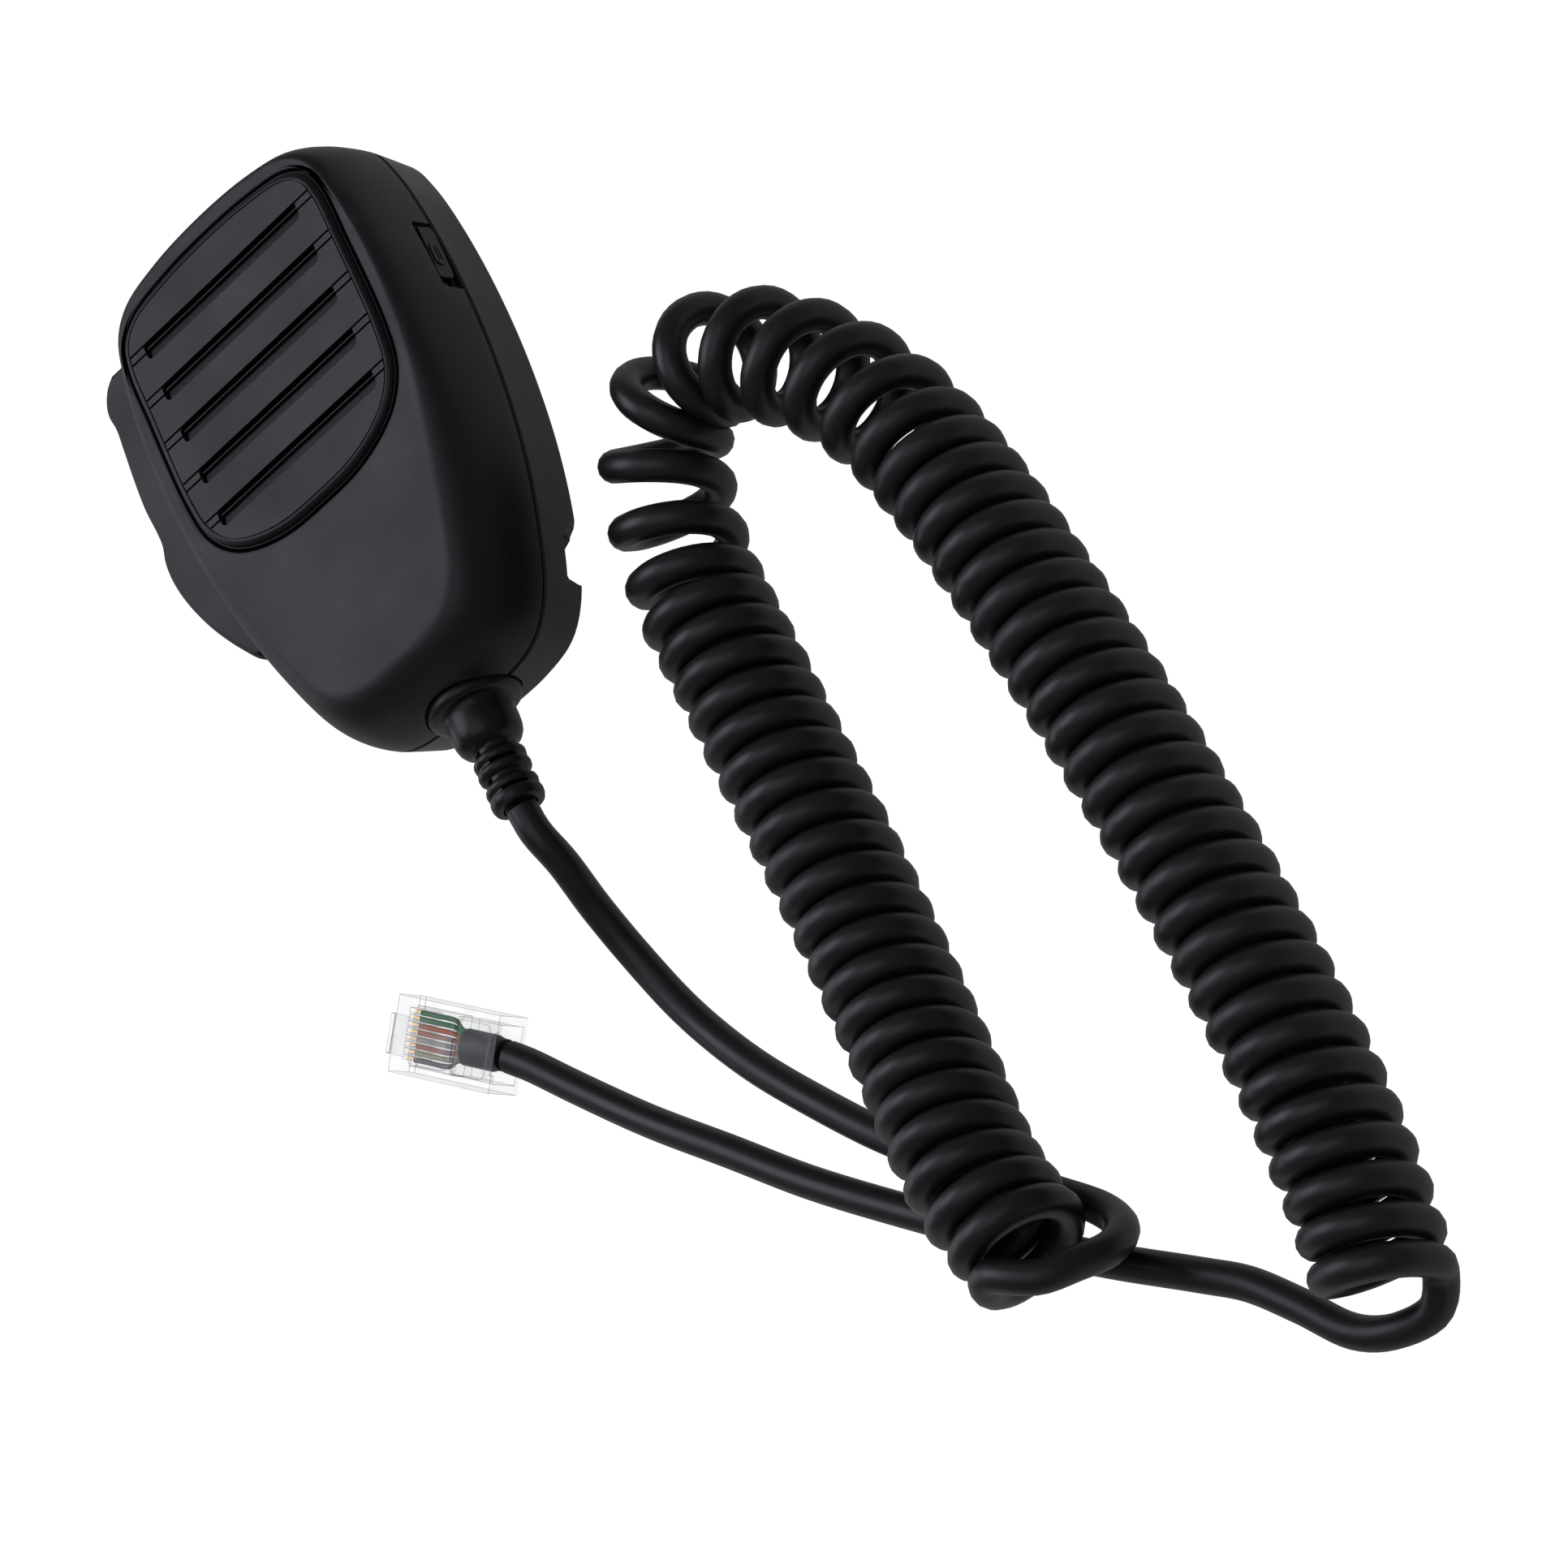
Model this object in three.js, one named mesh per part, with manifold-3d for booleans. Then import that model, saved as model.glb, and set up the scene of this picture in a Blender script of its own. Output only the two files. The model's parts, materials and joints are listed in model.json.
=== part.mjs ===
// Hand microphone for a mobile radio: a two-shell case with a louvred grille, a press-to-talk lever,
// a slide switch, a hanger button, and a curly cord that ends in a clear eight-way modular plug.
// Millimetres. +X is the microphone's right, +Y its top, +Z its front. The origin is the middle of the
// hanger head's rear face, so the microphone lies on its back on z = 0, and the cord lies on that plane.
import * as THREE from "three";
import { mergeVertices } from "three/addons/utils/BufferGeometryUtils.js";
import Module from "manifold-3d";

const wasm = await Module();
wasm.setup();

// ---- driving dimensions ----
const GAP = 0.3; // clearance between touching pieces
const BACK_Z = 5.5; // case back, above the hanger head's face
const PART_Z = 18.3; // parting line of the two shells
const FRONT_Z = 32; // case front
const GRILLE_Z = 32.85; // the grille's slats stand a little proud of the case
const WALL = 2; // shell thickness
const OUTLINE_POINTS = 48; // around the case
const SMOOTH = 12; // sides of a small round piece

const EXIT = new THREE.Vector3(0, -62.8, PART_Z); // where the cord leaves the case
const BOOT_LENGTH = 18; // strain relief outside the case
const CORD_R = 2.5;
const COIL_R = 10; // outside radius of the curly cord

const SLOT_COUNT = 5;
const SLOT_PITCH = 7.75;
const SLOT_LENGTH = 36;
const SLOT_HEIGHT = 2.2;
const SLOT_MIDDLE_Y = -2.75;
const SLOT_TILT = 0.5; // radians about X

const PTT_PIVOT = new THREE.Vector2(-21.5, -28.5);
const PTT_Z = [12.4, 22.4]; // the lever's rear and front faces
const PTT_CLEAR = 0.6; // gap around the lever in the case
const PTT_ROOM_Z = [PTT_Z[0] - PTT_CLEAR, PTT_Z[1] + PTT_CLEAR];
const PTT_ROOM = { x: [-45, -24.4], y: [-35.2, 24.2] }; // the opening in the case's left side
const PTT_PIVOT_ROOM = { x: [-26, -18.2], y: [-33.5, -24.5] };
const PTT_PIN = { r: 1, holeR: 1.1, bossR: 2.4, z: [9.4, 27.2], holeZ: [9, 27.4], bossTopZ: 30.5 };
const PTT_LUG = { x: -29, halfY: 2.2, inset: 1, barrelR: 2.2, barrelInset: 0.4 };
const PTT_ROUND = { depth: 1.8, side: 1.2 }; // the bar's rounded edges
const PTT_SWITCH = { y: -14, z: 18.6, halfY: 3.2, topZ: 21.2, bodyX: [-17.8, -12.5] };
const PTT_PLUNGER = { r: 1.5, x: [-25.7, -18.9] };

const LOCK_Y = [-8.2, 4.4]; // slide switch recess along the case
const LOCK_TOP_Z = 22.8; // the recess runs from the parting line to here
const LOCK_FLOOR_X = 27.9; // bottom of the recess
const LOCK_KNOB_Y = [-6.2, 3.4];
const LOCK_PLATE_THICK = 0.8;
const LOCK_PAD = { x: 29.25, halfY: 2, z: [19.6, 21.7] };
const LOCK_RIDGE = { x: [29, 29.5], halfY: 1.3, z: [20.5, 20.8], apart: 0.5 };
const LOCK_NECK = { x: 25.9, y: [-3, 0], z: [20.2, 21.6] };
const LOCK_BODY = { x: [15, 25.6], y: [-7, 3.2], topZ: 22.6 };
const LOCK_TRAVEL = 1.7;

const PLUG_AT = new THREE.Vector3(-31.2, -102.7, 0); // middle of the plug's rear edge, on the table
const PLUG_TURN = THREE.MathUtils.degToRad(138); // from +X to the way the plug's nose points
const PLUG = {
  length: 21.5,
  width: 11.7,
  height: 6.6,
  noseFoot: 0.6, // the nose's chamfer at the table
  noseTop: 1.2,
  hollow: { x: 9, halfY: 3.7, z: [0.7, 6] }, // takes the jacket's end
  channel: { x: [8.9, 18.4], halfY: 4.6, z: [2.6, 4.3] }, // takes the wires
  crimp: { x: [11.5, 13.4], halfY: 3.2, z: 4.9 },
  contactSlot: { x: 17.2, halfY: 0.35, z: 2.45 },
};
const PLUG_CONTACT = { count: 8, pitch: 1.02, fromX: 17.5, setBack: 0.5, halfY: 0.15, z: [0.2, 2.25] };
const PLUG_WIRE = { r: 0.4, length: 9.2, middleX: 13.5, z: 3.45 };
const PLUG_JACKET = { length: 8.4, middleX: 4.4, z: 3.5 };
const LATCH = { rootX: 20.2, tabX: 3.5, shoulderX: 11, rise: 0.24, thick: 1, rootWide: 6.2, tabWide: 3.2 };

// ---- materials ----
function finish(color, roughness, metalness = 0) {
  return new THREE.MeshStandardMaterial({ color, roughness, metalness });
}
const MATT_BLACK = finish(0x2b2b2e, 0.62);
const SATIN_BLACK = finish(0x26262a, 0.42);
const RUBBER = finish(0x151517, 0.5);
const CLOTH = finish(0x101012, 0.95);
const STEEL = finish(0xa8a8aa, 0.35, 1);
const GOLD = finish(0xd9b25a, 0.25, 1);
const BOARD_GREEN = finish(0x1f5a34, 0.45);
const IVORY = finish(0xd8d2c0, 0.5);
const CLEAR = finish(0xe8eef0, 0.08);
const WIRE_COLOURS = [0xf2f2ee, 0xf07a24, 0x2f9e57, 0x2d5fb8, 0xe9e2c8, 0x8a5a33, 0xc23a32, 0x9aa0a6];

// ---- solids ----
const part = new THREE.Group();

function addMesh(name, geometry, material, parent = part) {
  const mesh = new THREE.Mesh(geometry, material);
  mesh.name = name;
  parent.add(mesh);
  return mesh;
}

function solid(geometry) {
  const bare = geometry.index ? geometry.toNonIndexed() : geometry.clone();
  bare.deleteAttribute("normal");
  bare.deleteAttribute("uv");
  const merged = mergeVertices(bare, 1e-4);
  return new wasm.Manifold(
    new wasm.Mesh({
      numProp: 3,
      vertProperties: merged.attributes.position.array,
      triVerts: new Uint32Array(merged.index.array),
    }),
  );
}

function geometryOf(manifold) {
  const mesh = manifold.getMesh();
  const geometry = new THREE.BufferGeometry();
  geometry.setAttribute("position", new THREE.BufferAttribute(mesh.vertProperties, 3));
  geometry.setIndex(new THREE.BufferAttribute(mesh.triVerts, 1));
  return geometry;
}

function joined(...geometries) {
  return geometries.map(solid).reduce((all, one) => all.add(one));
}

function cut(base, ...tools) {
  return tools.map(solid).reduce((left, tool) => left.subtract(tool), base);
}

function box(x0, x1, y0, y1, z0, z1) {
  return new THREE.BoxGeometry(x1 - x0, y1 - y0, z1 - z0).translate(
    (x0 + x1) / 2,
    (y0 + y1) / 2,
    (z0 + z1) / 2,
  );
}

// The same box from three [low, high] pairs.
function span(x, y, z) {
  return box(x[0], x[1], y[0], y[1], z[0], z[1]);
}

// A round bar along Z between two heights.
function barZ(x, y, z0, z1, radius, sides = SMOOTH) {
  return new THREE.CylinderGeometry(radius, radius, z1 - z0, sides)
    .rotateX(Math.PI / 2)
    .translate(x, y, (z0 + z1) / 2);
}

// A turned piece about Z, from a profile of [radius, height] pairs that starts and ends on the axis.
function turnedZ(profile, x, y, z, sides = SMOOTH) {
  return new THREE.LatheGeometry(
    profile.map(([r, h]) => new THREE.Vector2(r, h)),
    sides,
  )
    .rotateX(Math.PI / 2)
    .translate(x, y, z);
}

// A closed ring of points through a half outline and its mirror image, anticlockwise.
function mirroredOutline(half, count = OUTLINE_POINTS) {
  const left = half.slice(1, -1).reverse().map(([x, y]) => [-x, y]);
  const points = [...half, ...left].map(([x, y]) => new THREE.Vector3(x, y, 0));
  return new THREE.CatmullRomCurve3(points, true, "centripetal")
    .getPoints(count)
    .slice(0, count)
    .map((p) => new THREE.Vector2(p.x, p.y));
}

function mixOutlines(a, b, t) {
  return a.map((p, i) => p.clone().lerp(b[i], t));
}

// A skin over rings of equal point counts, each { z, ring }, from the lowest to the highest.
function loft(rings) {
  const count = rings[0].ring.length;
  const positions = rings.flatMap(({ z, ring }) => ring.flatMap((p) => [p.x, p.y, z]));
  const index = [];
  for (let k = 0; k + 1 < rings.length; k++) {
    for (let i = 0; i < count; i++) {
      const a = k * count + i;
      const b = k * count + ((i + 1) % count);
      index.push(a, b, b + count, a, b + count, a + count);
    }
  }
  const top = (rings.length - 1) * count;
  for (const [a, b, c] of THREE.ShapeUtils.triangulateShape(rings[0].ring, [])) index.push(a, c, b);
  for (const [a, b, c] of THREE.ShapeUtils.triangulateShape(rings.at(-1).ring, [])) {
    index.push(top + a, top + b, top + c);
  }
  const geometry = new THREE.BufferGeometry();
  geometry.setAttribute("position", new THREE.Float32BufferAttribute(positions, 3));
  geometry.setIndex(index);
  return geometry;
}

// A side outline drawn in Y and Z, made solid along X from the given place.
function alongX(outline, from, depth) {
  const shape = new THREE.Shape(outline.map(([y, z]) => new THREE.Vector2(y, z)));
  const turn = new THREE.Matrix4()
    .makeBasis(new THREE.Vector3(0, 1, 0), new THREE.Vector3(0, 0, 1), new THREE.Vector3(1, 0, 0))
    .setPosition(from, 0, 0);
  return new THREE.ExtrudeGeometry(shape, { depth, bevelEnabled: false }).applyMatrix4(turn);
}

// ---- the case's three outlines, right halves from the bottom to the top ----
const PARTING = mirroredOutline([
  [0, -62.8], [8, -62.6], [14.5, -61], [19.2, -56.6], [23.7, -46.5], [27, -34.5], [29, -20],
  [29.4, -6], [28.6, 6], [27.1, 15], [24.9, 20.8], [20.5, 24.4], [11.5, 26.7], [0, 27.5],
]);
const FACE = mirroredOutline([
  [0, -55.5], [6.5, -55.3], [11.5, -53.6], [14.8, -50], [17.6, -42.5], [20.9, -31.5], [24.2, -18.5],
  [25.3, -5.5], [24.9, 5.5], [23.5, 14], [21.6, 19], [18, 22], [10.5, 23.7], [0, 24.3],
]);
const BACK = mirroredOutline([
  [0, -55.5], [7, -55.3], [12.4, -54], [16, -50.5], [19.4, -43], [21.8, -32.5], [23.2, -19],
  [23.4, -5.5], [22.8, 5.5], [21.6, 13.2], [20, 17.6], [16.6, 20], [9.5, 21.3], [0, 21.7],
]);
const PANEL = mirroredOutline([
  [0, -27.9], [8, -27.5], [14.6, -25.6], [18.9, -22.9], [21.9, -18.6], [23.1, -12],
  [23.2, 4], [23, 12.8], [21.7, 17], [18, 19.9], [9.5, 21.4], [0, 21.8],
]);
// How far each shell has drawn in from the parting line (0) to its flat (1), by height.
const FRONT_ROUNDING = [
  [PART_Z + GAP / 2, 0], [24, 0.1], [27, 0.22], [29, 0.38], [30.4, 0.56], [31.3, 0.76], [FRONT_Z, 1],
];
const REAR_ROUNDING = [
  [BACK_Z, 1], [6, 0.9], [8.5, 0.26], [9.2, 0.15], [14, 0.06], [PART_Z - GAP / 2, 0],
];
const CASE_MIDDLE = new THREE.Vector2(0, -17.5);

function scaled(ring, factor) {
  return ring.map((p) => p.clone().multiplyScalar(factor));
}

function wholeHalf(rounding, flat) {
  return solid(loft(rounding.map(([z, t]) => ({ z, ring: mixOutlines(PARTING, flat, t) }))));
}

// The hollow of a half case: the outer skin drawn in by a wall, and run out past the parting line.
function hollowHalf(rounding, flat, inward) {
  const drawIn = (p) => {
    const away = p.clone().sub(CASE_MIDDLE);
    return CASE_MIDDLE.clone().add(away.setLength(away.length() - WALL * 1.15));
  };
  return loft(
    rounding.map(([z, t]) => ({
      z: z + inward * WALL * (t === 0 || t === 1 ? 1 : 0.8),
      ring: mixOutlines(PARTING, flat, t).map(drawIn),
    })),
  );
}

// ---- fastenings ----
const CASE_SCREWS = [
  [-21, 14.5],
  [21, 14.5],
  [-12.5, -39],
  [12.5, -39],
];
const CASE_SCREW = { headR: 2.5, headH: 1.8, shankR: 1.25, headZ: 9, tipZ: 25.5 };
const BOSS_TOP = [27.5, 27.5, 30.5, 30.5]; // the upper two stop short of the grille
const BOARD_SCREWS = [
  [-10, 12],
  [10, -24],
];
const BOARD = { x: 16, y: [-33.5, 19], z: [14.5, 16.1] };
const SMALL_SCREW = { headR: 1.9, headH: 1.2, shankR: 1, length: 5 };
const CLAMP_SCREWS_X = [-5.6, 5.6];
const CLAMP = { x: 8, y: [-56, -52], z: [18.6, 22.2] };
const HANGER = { headR: 6.5, headH: 2.2, stemR: 4, screwR: 1.5, floorZ: 1.1 };

// A pan-head screw with a cross slot. It stands along +Z from its head, or along -Z when turned over.
function screw(name, x, y, headZ, { headR, headH, shankR }, length, over = false) {
  const body = solid(
    turnedZ(
      [
        [0, 0], [headR * 0.7, 0], [headR, headH * 0.4], [headR, headH],
        [shankR, headH], [shankR, length - 1], [0, length],
      ],
      0,
      0,
      0,
    ),
  );
  const half = headR * 0.6;
  const slot = headR * 0.13;
  const geometry = geometryOf(
    cut(body, ...[[half, slot], [slot, half]].map(([x, y]) => box(-x, x, -y, y, -1, headH / 2))),
  );
  const mesh = addMesh(name, geometry, STEEL);
  if (over) mesh.rotation.x = Math.PI;
  mesh.position.set(x, y, headZ);
}

// ---- openings that both shells share ----
const pttOpening = () => span(PTT_ROOM.x, PTT_ROOM.y, PTT_ROOM_Z);
const pttPivotRoom = () => span(PTT_PIVOT_ROOM.x, PTT_PIVOT_ROOM.y, PTT_ROOM_Z);
const pttPinHole = () => barZ(PTT_PIVOT.x, PTT_PIVOT.y, PTT_PIN.holeZ[0], PTT_PIN.holeZ[1], PTT_PIN.holeR);
const CORD_HOLE = { r: 5, long: 8, inside: 2 };
const FLANGE_SEAT = { r: 7.7, long: 6, outside: 1.8 };
const INNER_FLANGE_ROOM = { r: 5.8, long: 3, inside: 5.5 };
const cordHole = () =>
  new THREE.CylinderGeometry(CORD_HOLE.r, CORD_HOLE.r, CORD_HOLE.long, 32)
    .translate(EXIT.x, EXIT.y + CORD_HOLE.inside, EXIT.z);
const flangeSeat = () =>
  new THREE.CylinderGeometry(FLANGE_SEAT.r, FLANGE_SEAT.r, FLANGE_SEAT.long, 40)
    .translate(EXIT.x, EXIT.y - FLANGE_SEAT.outside, EXIT.z);
const innerFlangeRoom = () =>
  new THREE.CylinderGeometry(INNER_FLANGE_ROOM.r, INNER_FLANGE_ROOM.r, INNER_FLANGE_ROOM.long, 32)
    .translate(EXIT.x, EXIT.y + INNER_FLANGE_ROOM.inside, EXIT.z);

const BOSS_R = 3;
const BOSS_RIB = { long: 5, half: 1.5, z: [25.7, 27.5] };
const WINDOW_FLOOR_Z = 27.7;
const NECK_SLOT_Z = [19.9, 21.9];

function frontCover() {
  const whole = wholeHalf(FRONT_ROUNDING, FACE);
  const ribs = CASE_SCREWS.slice(0, 2).map(([x, y]) => {
    const ends = [x, x + Math.sign(x) * BOSS_RIB.long].sort((a, b) => a - b);
    return span(ends, [y - BOSS_RIB.half, y + BOSS_RIB.half], BOSS_RIB.z);
  });
  const bosses = joined(
    ...CASE_SCREWS.map(([x, y], i) => barZ(x, y, BOARD.z[1] + 2.6, BOSS_TOP[i], BOSS_R)),
    ...ribs,
    barZ(PTT_PIVOT.x, PTT_PIVOT.y, PTT_ROOM_Z[1], PTT_PIN.bossTopZ, PTT_PIN.bossR),
  );
  const windowRing = scaled(PANEL, 1 + GAP / 23);
  const neckRoom = [LOCK_NECK.y[0] - LOCK_TRAVEL - GAP, LOCK_NECK.y[1] + GAP];
  const body = cut(
    whole.subtract(solid(hollowHalf(FRONT_ROUNDING, FACE, -1))).add(whole.intersect(bosses)),
    ...CASE_SCREWS.map(([x, y]) => barZ(x, y, 10, CASE_SCREW.tipZ + GAP, CASE_SCREW.shankR + GAP)),
    loft([
      { z: WINDOW_FLOOR_Z, ring: windowRing },
      { z: FRONT_Z + 2, ring: windowRing },
    ]),
    pttOpening(),
    pttPivotRoom(),
    pttPinHole(),
    cordHole(),
    flangeSeat(),
    innerFlangeRoom(),
    span([LOCK_FLOOR_X, 32], LOCK_Y, [PART_Z - 1, LOCK_TOP_Z]),
    span([20, 32], neckRoom, NECK_SLOT_Z),
  );
  return geometryOf(body);
}

// The cross channel in the back, near the cord: one sloping flank and one steep flank.
const NOTCH = { yTop: -44.5, yFlatTop: -47.6, yBottom: -53.6, depthZ: 8.6 };

function notchPrism(grow) {
  const below = BACK_Z - 3;
  const outline = [
    [NOTCH.yBottom - 0.6 - grow, below],
    [NOTCH.yTop + 3 + grow * 1.6, below],
    [NOTCH.yFlatTop + grow, NOTCH.depthZ + grow],
    [NOTCH.yBottom - grow, NOTCH.depthZ + grow],
  ];
  return alongX(outline, -40, 80);
}

// Where the channel meets the side walls it deepens into a notch on each.
const END_NOTCH = { foot: -54.2, flatFoot: -53.5, flatTop: -47.4, top: -44.7, kneeZ: 9.4, topZ: 12.7, depth: 4 };

function endNotches(grow) {
  const { foot, flatFoot, flatTop, top, kneeZ, topZ, depth } = END_NOTCH;
  const outline = [
    [foot - grow, BACK_Z - 3],
    [top + grow, BACK_Z - 3],
    [top + grow, kneeZ],
    [flatTop + grow, topZ + grow],
    [flatFoot - grow, topZ + grow],
    [foot - grow, kneeZ],
  ];
  const core = mixOutlines(PARTING, BACK, 0.15).map((p) => {
    const away = p.clone().sub(CASE_MIDDLE);
    return CASE_MIDDLE.clone().add(away.setLength(away.length() - (depth + grow) * 1.15));
  });
  const middle = loft([0, PART_Z].map((z) => ({ z, ring: core })));
  return geometryOf(cut(solid(alongX(outline, -40, 80)), middle));
}

function rearCover() {
  const whole = wholeHalf(REAR_ROUNDING, BACK);
  const bosses = joined(
    notchPrism(WALL),
    endNotches(WALL),
    ...CASE_SCREWS.map(([x, y]) => barZ(x, y, BACK_Z, CASE_SCREW.headZ + 5, 4.2)),
    ...BOARD_SCREWS.map(([x, y]) => barZ(x, y, BACK_Z, BOARD.z[0] - GAP, 2.6)),
    ...CLAMP_SCREWS_X.map((x) => barZ(x, -54, BACK_Z, PART_Z - GAP / 2, 2)),
    barZ(PTT_PIVOT.x, PTT_PIVOT.y, BACK_Z, PTT_ROOM_Z[0], PTT_PIN.bossR),
  );
  const body = cut(
    whole.subtract(solid(hollowHalf(REAR_ROUNDING, BACK, 1))).add(whole.intersect(bosses)),
    ...CASE_SCREWS.map(([x, y]) =>
      barZ(x, y, 0, CASE_SCREW.headZ + CASE_SCREW.headH + GAP, CASE_SCREW.headR + GAP),
    ),
    ...CASE_SCREWS.map(([x, y]) => barZ(x, y, 0, 20, CASE_SCREW.shankR + GAP)),
    ...BOARD_SCREWS.map(([x, y]) => barZ(x, y, 11, 20, SMALL_SCREW.shankR + GAP)),
    ...CLAMP_SCREWS_X.map((x) => barZ(x, -54, 16, 20, SMALL_SCREW.shankR + GAP)),
    notchPrism(0),
    endNotches(0),
    pttOpening(),
    pttPivotRoom(),
    pttPinHole(),
    barZ(0, 0, 0, 9, HANGER.screwR + GAP),
    cordHole(),
    flangeSeat(),
    innerFlangeRoom(),
  );
  return geometryOf(body);
}

function addHanger() {
  const { headR, headH, stemR, screwR, floorZ } = HANGER;
  const head = turnedZ(
    [[0, 0], [headR - 0.6, 0], [headR, 0.6], [headR, headH - 0.5], [headR - 0.5, headH], [0, headH]],
    0,
    0,
    0,
    32,
  );
  addMesh("hanger_head", geometryOf(cut(solid(head), barZ(0, 0, floorZ, 4, screwR + GAP))), STEEL);
  const stem = solid(barZ(0, 0, headH + GAP, BACK_Z - GAP, stemR, 28));
  addMesh("hanger_stem", geometryOf(cut(stem, barZ(0, 0, 0, 9, screwR + GAP))), STEEL);
  const insideZ = BACK_Z + WALL + GAP; // the screw's head bears on the inside of the back
  const shank = [
    [0, 0], [screwR, 0], [screwR, insideZ - floorZ - GAP], [3, insideZ - floorZ - GAP],
    [3, insideZ - floorZ + 0.8], [2.2, insideZ - floorZ + 1.5], [0, insideZ - floorZ + 1.5],
  ];
  addMesh("hanger_screw", turnedZ(shank, 0, 0, floorZ + GAP), STEEL);
}

// ---- grille, cloth and capsule ----
// The grille's side, as heights and shares of its outline.
const GRILLE_SIDE = [[28.5, 0.955], [FRONT_Z - 0.4, 0.99], [FRONT_Z, 0.98], [GRILLE_Z, 0.93]];
const LOUVRE = { deep: 12, z: 31 };

function grillePanel() {
  const plate = solid(loft(GRILLE_SIDE.map(([z, share]) => ({ z, ring: scaled(PANEL, share) }))));
  const louvres = Array.from({ length: SLOT_COUNT }, (_, k) =>
    new THREE.BoxGeometry(SLOT_LENGTH, SLOT_HEIGHT, LOUVRE.deep)
      .rotateX(SLOT_TILT)
      .translate(0, SLOT_MIDDLE_Y + (k - (SLOT_COUNT - 1) / 2) * SLOT_PITCH, LOUVRE.z),
  );
  return geometryOf(cut(plate, ...louvres));
}

const CLOTH_Z = [27.85, 28.2];
const CLOTH_SHARE = 0.86; // of the grille's outline
const CAPSULE_Y = -3;
const CAPSULE_SIDES = 28;
const CAPSULE_BOOT = [[0, 19], [6.5, 19], [6.5, 27.5], [5.15, 27.5], [5.15, 21], [0, 21]];
const CAPSULE = [[0, 21.3], [4.85, 21.3], [4.85, 26.2], [4.4, 26.6], [0, 26.6]];

function addGrilleAndCapsule() {
  addMesh("grille_panel", grillePanel(), SATIN_BLACK);
  const ring = scaled(PANEL, CLOTH_SHARE);
  addMesh("grille_cloth", loft(CLOTH_Z.map((z) => ({ z, ring }))), CLOTH);
  addMesh("capsule_boot", turnedZ(CAPSULE_BOOT, 0, CAPSULE_Y, 0, CAPSULE_SIDES), RUBBER);
  addMesh("mic_capsule", turnedZ(CAPSULE, 0, CAPSULE_Y, 0, CAPSULE_SIDES), STEEL);
}

// ---- circuit board and what stands on it ----
const CONNECTOR = { x: 6, y: [-32, -28], z: [16.4, 20.5] };
const INNER_WIRE = { r: 0.55, pitch: 2.8, z: 18.4 };
const JACKET_END_Y = -48.5; // where the cord's jacket stops inside the case

// A tube of the given radius along a curve.
function tube(curve, radius, steps, sides) {
  const section = new THREE.Shape();
  section.setFromPoints(
    Array.from({ length: sides }, (_, i) => {
      const turn = (i / sides) * 2 * Math.PI;
      return new THREE.Vector2(radius * Math.cos(turn), radius * Math.sin(turn));
    }),
  );
  return new THREE.ExtrudeGeometry(section, { steps, extrudePath: curve, bevelEnabled: false });
}

function addBoard() {
  const { x, y, z } = BOARD;
  const plate = cut(
    solid(box(-x, x, y[0], y[1], z[0], z[1])),
    ...BOARD_SCREWS.map(([sx, sy]) => barZ(sx, sy, 10, 20, SMALL_SCREW.shankR + GAP)),
  );
  addMesh("circuit_board", geometryOf(plate), BOARD_GREEN);
  BOARD_SCREWS.forEach(([sx, sy], i) => {
    const headZ = z[1] + GAP + SMALL_SCREW.headH;
    screw(`board_screw_${i + 1}`, sx, sy, headZ, SMALL_SCREW, SMALL_SCREW.length, true);
  });
  const c = CONNECTOR;
  addMesh("board_connector", span([-c.x, c.x], c.y, c.z), IVORY);
  const corners = [[-1, -1], [-1, 1], [1, 1], [1, -1]];
  corners.forEach(([dx, dz], i) => {
    const from = new THREE.Vector3((i - 1.5) * INNER_WIRE.pitch, c.y[0] - GAP, INNER_WIRE.z);
    const to = new THREE.Vector3(dx, JACKET_END_Y + GAP, EXIT.z + dz);
    const route = new THREE.CatmullRomCurve3([
      from,
      from.clone().lerp(to, 0.3).setZ(from.z + dz * 0.8),
      from.clone().lerp(to, 0.7).setZ(to.z),
      to,
    ]);
    addMesh(`inner_wire_${i + 1}`, tube(route, INNER_WIRE.r, 8, 8), finish(WIRE_COLOURS[i], 0.5));
  });
}

// ---- press-to-talk lever and its switch ----
const LEVER_INNER = [[-26.2, -26], [-28.2, 22.1]];
const LEVER_TIP = [-33.8, 22.1];
const LEVER_HEEL = [-27.5, -34.3];
// The outer edge from the tip to the heel, in three smooth stretches.
const LEVER_OUTER = [
  [[-35.7, 20.8], [-37.2, 18.6], [-37.8, 16.3]],
  [[-37.5, 13.4], [-38, 7.7], [-38.5, 1.5], [-38.3, -5]],
  [[-38.3, -7.3], [-39, -10], [-39.1, -13], [-38.4, -17.6], [-35.9, -24.4], [-32.2, -30.9], [-29.8, -34.1]],
];

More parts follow.
